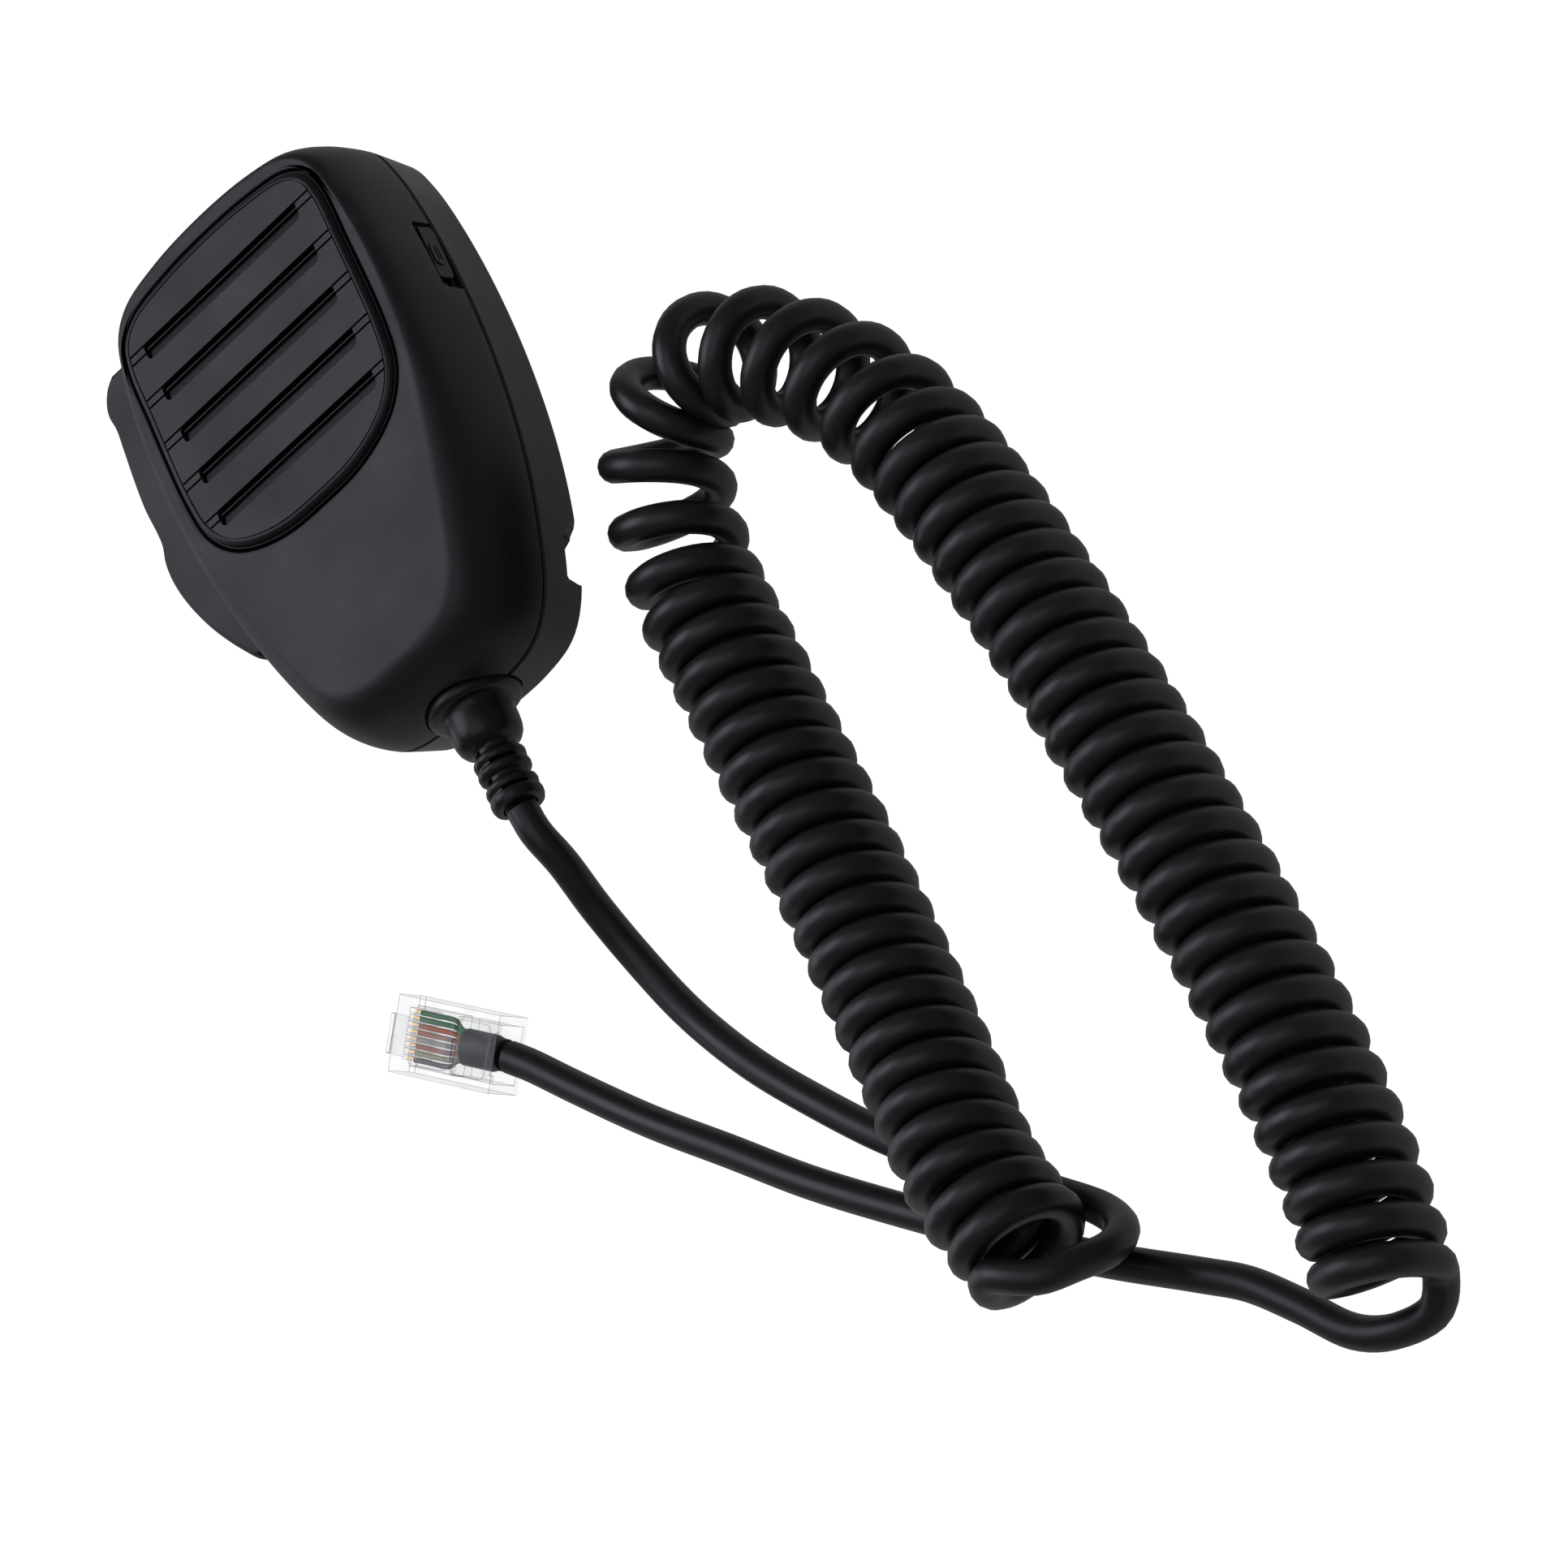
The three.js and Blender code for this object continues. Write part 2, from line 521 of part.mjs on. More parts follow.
function pttLever() {
  const [rearZ, frontZ] = PTT_Z;
  const outline = new THREE.Shape();
  outline.moveTo(...LEVER_INNER[0]);
  outline.lineTo(...LEVER_INNER[1]);
  outline.lineTo(...LEVER_TIP);
  LEVER_OUTER.forEach((stretch) => outline.splineThru(stretch.map(([x, y]) => new THREE.Vector2(x, y))));
  outline.lineTo(...LEVER_HEEL);
  const bar = new THREE.ExtrudeGeometry(outline, {
    depth: frontZ - rearZ - 2 * PTT_ROUND.depth,
    bevelThickness: PTT_ROUND.depth,
    bevelSize: PTT_ROUND.side,
    bevelOffset: -PTT_ROUND.side,
    bevelSegments: 2,
    curveSegments: 4,
  }).translate(0, 0, rearZ + PTT_ROUND.depth);
  const { x, y } = PTT_PIVOT;
  const { x: lugX, halfY, inset, barrelR, barrelInset } = PTT_LUG;
  const whole = joined(
    bar,
    span([lugX, x], [y - halfY, y + halfY], [rearZ + inset, frontZ - inset]),
    barZ(x, y, rearZ + barrelInset, frontZ - barrelInset, barrelR),
  );
  return geometryOf(cut(whole, barZ(x, y, 0, 40, PTT_PIN.holeR)));
}

function addPtt() {
  addMesh("ptt_lever", pttLever(), SATIN_BLACK);
  addMesh("ptt_pivot_pin", barZ(PTT_PIVOT.x, PTT_PIVOT.y, PTT_PIN.z[0], PTT_PIN.z[1], PTT_PIN.r), STEEL);
  const { y, z, halfY, topZ, bodyX } = PTT_SWITCH;
  addMesh("ptt_switch_body", span(bodyX, [y - halfY, y + halfY], [BOARD.z[1] + GAP, topZ]), IVORY);
  const { r, x } = PTT_PLUNGER;
  const plunger = new THREE.CylinderGeometry(r, r, x[1] - x[0], SMOOTH)
    .rotateZ(Math.PI / 2)
    .translate((x[0] + x[1]) / 2, y, z);
  addMesh("ptt_switch_plunger", plunger, RUBBER);
}

// ---- slide switch on the right flank ----
function addLockSwitch() {
  const [low, high] = LOCK_KNOB_Y;
  const [bottom, top] = [PART_Z + 0.6, LOCK_TOP_Z - 0.5];
  const outline = [
    [low + 0.9, bottom], [high - 0.5, bottom], [high, bottom + 0.5],
    [high - 0.5, top], [low + 0.2, top], [low, top - 0.5],
  ];
  const floor = LOCK_FLOOR_X + GAP;
  const middle = (low + high) / 2;
  const { x: padX, halfY: padHalf, z: padZ } = LOCK_PAD;
  const ridges = [-1, 1].map((side) => {
    const { x, halfY, z, apart } = LOCK_RIDGE;
    return span(x, [middle - halfY, middle + halfY], z.map((height) => height + side * apart));
  });
  const knob = joined(
    alongX(outline, floor, LOCK_PLATE_THICK),
    span([floor, padX], [middle - padHalf, middle + padHalf], padZ),
    span([LOCK_NECK.x, floor + GAP], LOCK_NECK.y, LOCK_NECK.z),
    ...ridges,
  );
  addMesh("lock_switch_knob", geometryOf(knob), SATIN_BLACK);
  addMesh("lock_switch_body", span(LOCK_BODY.x, LOCK_BODY.y, [BOARD.z[1] + GAP, LOCK_BODY.topZ]), STEEL);
}

// ---- cord outlet ----
const BOOT_BORE = CORD_R + GAP;
const BOOT_INSIDE = 5.8; // how far the boot's inner flange stands inside the wall's outer face
// The boot's side, as [radius, distance outward from the exit].
const BOOT_PROFILE = [
  [BOOT_BORE, -BOOT_INSIDE], [5.5, -BOOT_INSIDE], [5.5, -4.3], [4.7, -4.3], [4.7, -0.9], [7.3, -0.9],
  [7.3, 1],
  [6.8, 1.6], [5.6, 1.8], [5.35, 4.5], [5.1, 6.4], [4.3, 7.6], [3.4, 8.1], [3.3, 9], [4, 9.4], [4, 10.6],
  [3.6, 10.9], [4.1, 11.3], [4.1, 12.5], [3.3, 12.9], [3.3, 13.9], [4, 14.2], [4, 15.4], [3.6, 15.7],
  [4.1, 16], [4.1, 17.4], [3.7, BOOT_LENGTH], [BOOT_BORE, BOOT_LENGTH], [BOOT_BORE, -BOOT_INSIDE],
];
const CLAMP_SCREW_LENGTH = 6.5;

function addCordOutlet() {
  const boot = new THREE.LatheGeometry(
    BOOT_PROFILE.map(([r, out]) => new THREE.Vector2(r, out)),
    16,
  ).rotateX(Math.PI);
  addMesh("strain_relief", boot, RUBBER).position.copy(EXIT);
  const bootEnd = EXIT.y - BOOT_LENGTH;
  const jacket = new THREE.CylinderGeometry(CORD_R, CORD_R, JACKET_END_Y - bootEnd - GAP, SMOOTH)
    .translate(0, (JACKET_END_Y + bootEnd + GAP) / 2, EXIT.z);
  addMesh("cord_entry", jacket, RUBBER);
  const { x, y, z } = CLAMP;
  const middle = (y[0] + y[1]) / 2;
  const saddle = cut(
    solid(span([-x, x], y, z)),
    new THREE.CylinderGeometry(BOOT_BORE, BOOT_BORE, 12, 20).translate(0, middle, EXIT.z),
    ...CLAMP_SCREWS_X.map((sx) => barZ(sx, middle, 10, 30, SMALL_SCREW.shankR + GAP)),
  );
  addMesh("cord_clamp", geometryOf(saddle), STEEL);
  CLAMP_SCREWS_X.forEach((sx, i) => {
    const headZ = z[1] + GAP + SMALL_SCREW.headH;
    screw(`clamp_screw_${i + 1}`, sx, middle, headZ, SMALL_SCREW, CLAMP_SCREW_LENGTH, true);
  });
}

// ---- the free cord: lead, curly cord in a hairpin, and tail ----
const points = (list) => list.map(([x, y, z]) => new THREE.Vector3(x, y, z));
const LEAD = points([
  [0, -81, 18.3], [0, -85, 17.6], [0, -90, 14.6], [-1.4, -96.5, 9.6], [-1.4, -105, 5.2], [1.2, -116, 3],
  [7, -128.3, 2.6], [14.6, -140, 2.6], [23, -151.4, 2.6], [33, -162.5, 2.6], [43.5, -173, 2.7],
  [50.5, -180.3, 4], [54.4, -186, 8], [54.2, -189.2, 13], [51.5, -190, 18], [47.5, -189.8, 21.6],
]);
const COIL_AXIS = points([
  [44.4, -185.2, 15.6], [41.4, -170.5, 15.6], [40.4, -152.6, 13.2], [39.7, -134.6, 11.2],
  [39.3, -116.7, 10.3], [38.8, -98, 10.1], [38.5, -80, 10.1], [38.2, -68, 10.1], [40.5, -54, 10.1],
  [46, -43.6, 10.1], [55, -40, 10.1], [63.5, -44, 10.1], [73.5, -55, 10.1], [80, -67.5, 10.1],
  [84, -82.5, 10.1], [87.4, -105, 10.1], [90.4, -135, 10.1], [91.9, -164, 10.1], [92, -186, 10.1],
  [90.6, -204.2, 10.1], [88.4, -216.5, 10.1],
]);
const TAIL = points([
  [89.5, -219.9, 2.6], [83, -219.3, 2.6], [77, -216, 2.6], [71, -208.2, 2.6], [65.4, -201.4, 2.6],
  [59, -196, 2.6], [46.6, -186, 2.6], [34.5, -175.2, 2.6], [21.6, -163, 2.6], [7.8, -149.2, 2.6],
  [-2.7, -137.3, 2.6], [-13.4, -125.3, 2.6], [-22.5, -113.8, 2.9], [-28.2, -106.2, 3.3], [-30.8, -103.2, 3.5],
]);
// Where the coil's solid is split along its axis: the near run, the bend and the far run.
const COIL_SPLITS = [0, 0.31, 0.645, 1];

function addCord() {
  const curve = (list) => new THREE.CatmullRomCurve3(list, false, "centripetal");
  addMesh("cord_lead", tube(curve(LEAD), CORD_R, 26, 8), RUBBER);
  addMesh("cord_tail", tube(curve(TAIL), CORD_R, 26, 8), RUBBER);
  const axis = curve(COIL_AXIS);
  const length = axis.getLength();
  ["cord_coil_near", "cord_coil_bend", "cord_coil_far"].forEach((name, i) => {
    const from = COIL_SPLITS[i] + (i > 0 ? GAP / length : 0);
    const to = COIL_SPLITS[i + 1];
    const stretch = Array.from({ length: 33 }, (_, k) => axis.getPointAt(from + ((to - from) * k) / 32));
    addMesh(name, tube(curve(stretch), COIL_R, 10, 12), RUBBER);
  });
}

// ---- modular plug, built along +X from its rear face and then turned on the table ----
// A side outline drawn in X and Z, made solid across Y about the middle.
function acrossY(outline, wide) {
  const shape = new THREE.Shape(outline.map(([x, z]) => new THREE.Vector2(x, z)));
  const turn = new THREE.Matrix4()
    .makeBasis(new THREE.Vector3(1, 0, 0), new THREE.Vector3(0, 0, 1), new THREE.Vector3(0, -1, 0))
    .setPosition(0, wide / 2, 0);
  return new THREE.ExtrudeGeometry(shape, { depth: wide, bevelEnabled: false }).applyMatrix4(turn);
}

const both = (half, middle = 0) => [middle - half, middle + half];
const contactY = (i) => (i - (PLUG_CONTACT.count - 1) / 2) * PLUG_CONTACT.pitch;

function plugBody() {
  const { length, width, height, noseFoot, noseTop, hollow, channel, crimp, contactSlot } = PLUG;
  const outline = [
    [0, 0], [length - noseFoot, 0], [length, noseFoot], [length, height - noseTop], [length - noseTop, height],
    [0, height],
  ];
  const slots = Array.from({ length: PLUG_CONTACT.count }, (_, i) =>
    span([contactSlot.x, length + 1], both(contactSlot.halfY, contactY(i)), [-1, contactSlot.z]),
  );
  const body = cut(
    solid(acrossY(outline, width)),
    span([-1, hollow.x], both(hollow.halfY), hollow.z),
    span(channel.x, both(channel.halfY), channel.z),
    span(crimp.x, both(crimp.halfY), [crimp.z, height + 1]),
    ...slots,
  );
  return geometryOf(body);
}

// The latch: a wide root at the nose that narrows to a thumb tab over the rear.
function plugLatch() {
  const { rootX, tabX, shoulderX, rise, thick, rootWide, tabWide } = LATCH;
  const under = (x) => PLUG.height + GAP + (rootX - x) * rise;
  const strip = (x0, x1, wide) =>
    acrossY([[x0, under(x0)], [x1, under(x1)], [x1, under(x1) + thick], [x0, under(x0) + thick]], wide);
  return geometryOf(joined(strip(shoulderX, rootX, rootWide), strip(tabX, shoulderX + 0.2, tabWide)));
}

function addPlug() {
  const plug = new THREE.Group();
  plug.position.copy(PLUG_AT);
  plug.rotation.z = PLUG_TURN;
  part.add(plug);
  addMesh("plug_body", plugBody(), CLEAR, plug);
  addMesh("plug_latch", plugLatch(), CLEAR, plug);
  const { fromX, setBack, halfY, z } = PLUG_CONTACT;
  const contactX = [fromX, PLUG.length - setBack];
  for (let i = 0; i < PLUG_CONTACT.count; i++) {
    addMesh(`plug_contact_${i + 1}`, span(contactX, both(halfY, contactY(i)), z), GOLD, plug);
    const wire = new THREE.CylinderGeometry(PLUG_WIRE.r, PLUG_WIRE.r, PLUG_WIRE.length, 8)
      .rotateZ(Math.PI / 2)
      .translate(PLUG_WIRE.middleX, contactY(i), PLUG_WIRE.z);
    addMesh(`plug_wire_${i + 1}`, wire, finish(WIRE_COLOURS[i], 0.5), plug);
  }
  const jacket = new THREE.CylinderGeometry(CORD_R, CORD_R, PLUG_JACKET.length, SMOOTH)
    .rotateZ(Math.PI / 2)
    .translate(PLUG_JACKET.middleX, 0, PLUG_JACKET.z);
  addMesh("plug_jacket_end", jacket, RUBBER, plug);
}

addMesh("front_cover", frontCover(), MATT_BLACK);
addMesh("rear_cover", rearCover(), SATIN_BLACK);
CASE_SCREWS.forEach(([x, y], i) => {
  screw(`case_screw_${i + 1}`, x, y, CASE_SCREW.headZ, CASE_SCREW, CASE_SCREW.tipZ - CASE_SCREW.headZ);
});
addHanger();
addGrilleAndCapsule();
addBoard();
addPtt();
addLockSwitch();
addCordOutlet();
addCord();
addPlug();

export default part;
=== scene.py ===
# %% [markdown]
# A hand microphone for a mobile radio, drawn as it lies on a table: a two-shell case with a louvred grille,
# a talk lever on its left side, a slide switch on its right, a hanger button behind, and a curly cord that
# ends in a small clear plug. The CAD frame says where everything is, and this lesson gives each piece its
# fine surface and its finish. Lengths are written in millimetres and turned into metres when a mesh is made.

# %% Load the frame
import json
import math

import bmesh
import bpy
import numpy as np
from mathutils import Matrix, Vector

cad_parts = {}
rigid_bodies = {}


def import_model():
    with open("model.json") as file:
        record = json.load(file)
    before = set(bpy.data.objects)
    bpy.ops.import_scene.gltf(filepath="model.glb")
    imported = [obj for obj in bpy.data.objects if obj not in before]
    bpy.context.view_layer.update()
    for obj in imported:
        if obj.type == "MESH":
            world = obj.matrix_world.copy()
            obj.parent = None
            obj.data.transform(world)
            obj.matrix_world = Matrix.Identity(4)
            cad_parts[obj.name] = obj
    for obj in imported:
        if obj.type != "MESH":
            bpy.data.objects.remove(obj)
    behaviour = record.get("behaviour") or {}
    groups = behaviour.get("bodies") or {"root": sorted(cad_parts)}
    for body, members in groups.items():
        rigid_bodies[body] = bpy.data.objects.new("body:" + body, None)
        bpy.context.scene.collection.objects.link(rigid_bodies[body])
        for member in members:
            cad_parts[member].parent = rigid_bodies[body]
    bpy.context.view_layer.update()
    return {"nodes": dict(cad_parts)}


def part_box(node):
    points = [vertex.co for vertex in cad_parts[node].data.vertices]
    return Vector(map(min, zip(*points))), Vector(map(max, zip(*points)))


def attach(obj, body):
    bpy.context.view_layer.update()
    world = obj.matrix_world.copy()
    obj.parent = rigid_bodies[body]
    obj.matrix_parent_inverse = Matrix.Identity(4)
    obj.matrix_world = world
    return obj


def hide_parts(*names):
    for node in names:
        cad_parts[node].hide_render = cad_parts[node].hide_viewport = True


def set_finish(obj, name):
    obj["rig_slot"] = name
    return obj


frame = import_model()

MM = 0.001
scene = bpy.context.scene
nodes = frame["nodes"]


# %% [markdown]
# The camera looks down on the microphone's front from its lower right corner. Its lens is long, so the near
# and the far end of the cord keep nearly the same scale. It could be placed by hand, but an angle round the
# object, a height, a roll and a distance are easier to read and to change.

# %% Camera
LOOK_AT = Vector((30.86, -95.84, 0)) * MM
AZIMUTH, ELEVATION, ROLL = 50.23, 50.34, -82.79
DISTANCE = 970.4 * MM
LENS, SENSOR = 154.66, 36

turn, height = math.radians(AZIMUTH), math.radians(ELEVATION)
back = Vector((math.sin(turn) * math.cos(height), -math.cos(turn) * math.cos(height), math.sin(height)))
camera = bpy.data.objects.new("camera", bpy.data.cameras.new("camera"))
camera.data.lens, camera.data.sensor_width = LENS, SENSOR
camera.data.clip_start = 0.01
camera.location = LOOK_AT + back * DISTANCE
facing = (-back).to_track_quat("-Z", "Y").to_matrix()
camera.rotation_euler = (facing @ Matrix.Rotation(math.radians(ROLL), 3, "Z")).to_euler()
scene.collection.objects.link(camera)
scene.camera = camera
print("camera at", [round(c / MM) for c in camera.location], "mm")

# %% [markdown]
# Every shape here starts as rings of points. A ring can run round the case, a turned piece or a bar, and a
# skin over a stack of rings is one closed surface. Points made by code are exact, and one helper serves the
# case, the lever, the boot and the screws alike.

# %% Rings and skins
def made(name, points, faces):
    """A piece from points in millimetres and faces, with its faces turned outward."""
    shape = bmesh.new()
    corners = [shape.verts.new(Vector(p) * MM) for p in points]
    for face in faces:
        shape.faces.new([corners[i] for i in face])
    bmesh.ops.recalc_face_normals(shape, faces=shape.faces)
    mesh = bpy.data.meshes.new(name)
    shape.to_mesh(mesh)
    shape.free()
    piece = bpy.data.objects.new(name, mesh)
    scene.collection.objects.link(piece)
    return piece


def skin(name, rings, closed=False):
    """One surface over rings with equal point counts: joined end to end, or closed by two flat ends."""
    count, size = len(rings), len(rings[0])
    faces = []
    for k in range(count if closed else count - 1):
        here, there = k * size, (k + 1) % count * size
        for i in range(size):
            j = (i + 1) % size
            faces.append((here + i, here + j, there + j, there + i))
    if not closed:
        faces.append(range(size - 1, -1, -1))
        faces.append(range((count - 1) * size, count * size))
    return made(name, np.concatenate(rings), faces)


AXIS_ORDER = {"x": (2, 0, 1), "y": (0, 2, 1), "z": (0, 1, 2)}


def raised(outline, height, along="z"):
    """A flat outline lifted to a height along one axis."""
    flat = np.column_stack([outline, np.full(len(outline), height)])
    return flat[:, AXIS_ORDER[along]]


def circle(radius, sides=48, middle=(0, 0)):
    angle = np.arange(sides) / sides * 2 * math.pi
    return np.column_stack([np.cos(angle), np.sin(angle)]) * radius + middle


def prism(outline, low, high, along="z", name="cutter"):
    return skin(name, [raised(np.array(outline, float), h, along) for h in (low, high)])


def block(x0, x1, y0, y1, z0, z1, name="cutter"):
    return prism([(x0, y0), (x1, y0), (x1, y1), (x0, y1)], z0, z1, "z", name)


def turned(name, profile, middle=(0, 0), along="z", sides=48, closed=False):
    """A turned piece from pairs of radius and height; closed makes a ring with a bore."""
    return skin(name, [raised(circle(r, sides, middle), h, along) for r, h in profile], closed)


# %% [markdown]
# Holes, recesses and edges are made as on a bench: cut first, then break the sharp edge. A boolean cuts, and
# a narrow bevel with weighted normals gives each edge the small radius that catches light.

# %% Cutting and rounding
def settled(piece):
    """Turns the piece's modifiers into plain mesh."""
    shaped = bpy.data.meshes.new_from_object(piece.evaluated_get(bpy.context.evaluated_depsgraph_get()))
    piece.modifiers.clear()
    piece.data = shaped
    return piece


def combined(piece, others, how="DIFFERENCE"):
    """Cuts the others from the piece, or joins or keeps what they share, and uses them up."""
    for other in others:
        modifier = piece.modifiers.new("combine", "BOOLEAN")
        modifier.operation, modifier.object, modifier.solver = how, other, "EXACT"
        settled(piece)
        bpy.data.objects.remove(other)
    return piece


def rounded(piece, width, segments=2, angle=40, strip=-1):
    """Breaks edges sharper than an angle and shades the rest smooth; strip is the new edges' material."""
    bevel = piece.modifiers.new("edge", "BEVEL")
    bevel.width, bevel.segments = width * MM, segments
    bevel.limit_method, bevel.angle_limit = "ANGLE", math.radians(angle)
    bevel.use_clamp_overlap = True
    bevel.material = strip
    settled(piece)
    piece.data.shade_smooth()
    piece.data.set_sharp_from_angle(angle=math.radians(angle))
    weighted = piece.modifiers.new("normals", "WEIGHTED_NORMAL")
    weighted.keep_sharp = True
    print(f"{piece.name}: {len(piece.data.polygons)} faces")
    return piece


# %% [markdown]
# A smooth line through a few chosen points serves both the case outlines and the cord. A centripetal
# Catmull-Rom curve passes through every point without loops or overshoot, and it is then cut into even steps.

# %% Smooth lines
def smooth_line(points, closed=False, steps=16):
    points = np.array(points, float)
    if closed:
        padded = np.concatenate([points[-1:], points, points[:2]])
    else:
        padded = np.concatenate([2 * points[:1] - points[1:2], points, 2 * points[-1:] - points[-2:-1]])
    line = []
    for p0, p1, p2, p3 in zip(padded, padded[1:], padded[2:], padded[3:]):
        d0, d1, d2 = (math.sqrt(np.linalg.norm(b - a)) for a, b in ((p0, p1), (p1, p2), (p2, p3)))
        leave = ((p1 - p0) / d0 - (p2 - p0) / (d0 + d1) + (p2 - p1) / d1) * d1
        arrive = ((p2 - p1) / d1 - (p3 - p1) / (d1 + d2) + (p3 - p2) / d2) * d1
        for k in range(steps):
            t = k / steps
            line.append(
                (2 * t**3 - 3 * t**2 + 1) * p1
                + (t**3 - 2 * t**2 + t) * leave
                + (3 * t**2 - 2 * t**3) * p2
                + (t**3 - t**2) * arrive
            )
    return np.array(line if closed else [*line, points[-1]])


def evenly(line, count, closed=False):
    """The line again, in a number of equal steps."""
    if closed:
        line = np.concatenate([line, line[:1]])
    run = np.concatenate([[0], np.cumsum(np.linalg.norm(np.diff(line, axis=0), axis=1))])
    stops = np.linspace(0, run[-1], count, endpoint=not closed)
    return np.column_stack([np.interp(stops, run, line[:, i]) for i in range(line.shape[1])])


def length_of(line):
    return np.linalg.norm(np.diff(line, axis=0), axis=1).sum()


# %% [markdown]
# The cord is a round jacket 5 mm thick. It leaves the boot, sags to the table and runs away from the case,
# then climbs into the curly part, which lies in a hairpin: a tight run beside the case, an opened bend, and
# a tight run back. A straight tail passes under the curls' end and goes to the plug. The whole route is one
# centreline: the curls are a helix worked out along an axis, so their pitch and their hand are true.

# %% The cord's route
CORD_R = 2.5
CURL_R = 7.5
TURN_STEPS = 36

LEAD = [
    (0, -81, 18.3), (0, -85, 17.6), (0, -90, 14.6), (-1.4, -96.5, 9.6), (-1.4, -105, 5.2), (1.2, -116, 3),
    (7, -128.3, 2.6), (14.6, -140, 2.6), (23, -151.4, 2.6), (33, -162.5, 2.6), (43.5, -173, 2.7),
    (50.5, -180.3, 4), (54.4, -186, 8), (54.2, -189.2, 13), (51.5, -190, 18), (47.5, -189.8, 21.6),
]
CURL_AXIS = [
    (44.4, -185.2, 15.6), (41.4, -170.5, 15.6), (40.4, -152.6, 13.2), (39.7, -134.6, 11.2),
    (39.3, -116.7, 10.3), (38.8, -98, 10.1), (38.5, -80, 10.1), (38.2, -68, 10.1), (40.5, -54, 10.1),
    (46, -43.6, 10.1), (55, -40, 10.1), (63.5, -44, 10.1), (73.5, -55, 10.1), (80, -67.5, 10.1),
    (84, -82.5, 10.1), (87.4, -105, 10.1), (90.4, -135, 10.1), (91.9, -164, 10.1), (92, -186, 10.1),
    (90.6, -204.2, 10.1), (88.4, -216.5, 10.1),
]
TAIL = [
    (89.5, -219.9, 2.6), (83, -219.3, 2.6), (77, -216, 2.6), (71, -208.2, 2.6), (65.4, -201.4, 2.6),
    (59, -196, 2.6), (46.6, -186, 2.6), (34.5, -175.2, 2.6), (21.6, -163, 2.6), (7.8, -149.2, 2.6),
    (-2.7, -137.3, 2.6), (-13.4, -125.3, 2.6), (-22.5, -113.8, 2.9), (-28.2, -106.2, 3.3),
    (-30.8, -103.2, 3.5),
]
CURLS = {"near": 5.4, "bend": 8.9, "far": 5.44}
BEND_AT = (112, 204)
BLEND = 14
START_TURN, WHOLE_TURNS = 0.25, 57


def curl_line():
    """The helix: even curls, with a wider pitch where the hairpin bends."""
    axis = evenly(smooth_line(CURL_AXIS), 1600)
    run = np.linspace(0, length_of(axis), len(axis))
    opened = np.clip((run - BEND_AT[0]) / BLEND, 0, 1) * np.clip((BEND_AT[1] - run) / BLEND, 0, 1)
    side = np.clip((run - np.mean(BEND_AT)) * 1e3, 0, 1)
    rate = (1 - opened) * ((1 - side) / CURLS["near"] + side / CURLS["far"]) + opened / CURLS["bend"]
    turns = np.concatenate([[0], np.cumsum((rate[1:] + rate[:-1]) / 2 * np.diff(run))])
    turns *= (WHOLE_TURNS + 0.5) / turns[-1]
    stops = np.linspace(0, turns[-1], int(turns[-1] * TURN_STEPS))
    middle = np.column_stack([np.interp(stops, turns, axis[:, i]) for i in range(3)])
    along = np.gradient(middle, axis=0)
    along /= np.linalg.norm(along, axis=1)[:, None]
    right = np.cross(along, (0, 0, 1))
    right /= np.linalg.norm(right, axis=1)[:, None]
    up = np.cross(right, along)
    angle = (START_TURN + stops)[:, None] * 2 * math.pi
    return middle + CURL_R * (np.cos(angle) * right + np.sin(angle) * up)


curls = curl_line()
CURL_KEYS, SPACING = 3, 1.3
route = np.concatenate([LEAD, curls[CURL_KEYS:-CURL_KEYS:CURL_KEYS], TAIL])
route = smooth_line(route, steps=6)
cord_length = length_of(route)
route = evenly(route, int(cord_length / SPACING))
print(f"cord {cord_length:.0f} mm, {len(route)} points, lowest {route[:, 2].min():.2f} mm")

# %% The cord
spline_data = bpy.data.curves.new("curly_cord", "CURVE")
spline_data.dimensions = "3D"
spline_data.bevel_depth = 1  # times each point's radius
spline_data.bevel_resolution = 5
spline_data.use_fill_caps = True
spline = spline_data.splines.new("POLY")
spline.points.add(len(route) - 1)
spline.points.foreach_set("co", np.column_stack([route * MM, np.ones(len(route))]).ravel())
spline.points.foreach_set("radius", np.full(len(route), CORD_R * MM))
spline.use_smooth = True
curly_cord = bpy.data.objects.new("curly_cord", spline_data)
scene.collection.objects.link(curly_cord)
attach(curly_cord, "case")
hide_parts("cord_lead", "cord_coil_near", "cord_coil_bend", "cord_coil_far", "cord_tail")
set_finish(curly_cord, "cord_jacket")


# %% [markdown]
# The case is two thin moulded shells that meet on a parting line. Seen from the front it has one outline at
# the parting line, a smaller one on its front and another on its back, and the sides round over between them.
# Each outline is drawn through a few points of its right half and mirrored, since the case is symmetrical.

# %% Case outlines
RING = 192


def mirrored(half):
    """A whole outline, anticlockwise, from its right half given from the bottom to the top."""
    left = [(-x, y) for x, y in half[-2:0:-1]]
    return evenly(smooth_line([*half, *left], closed=True), RING, closed=True)


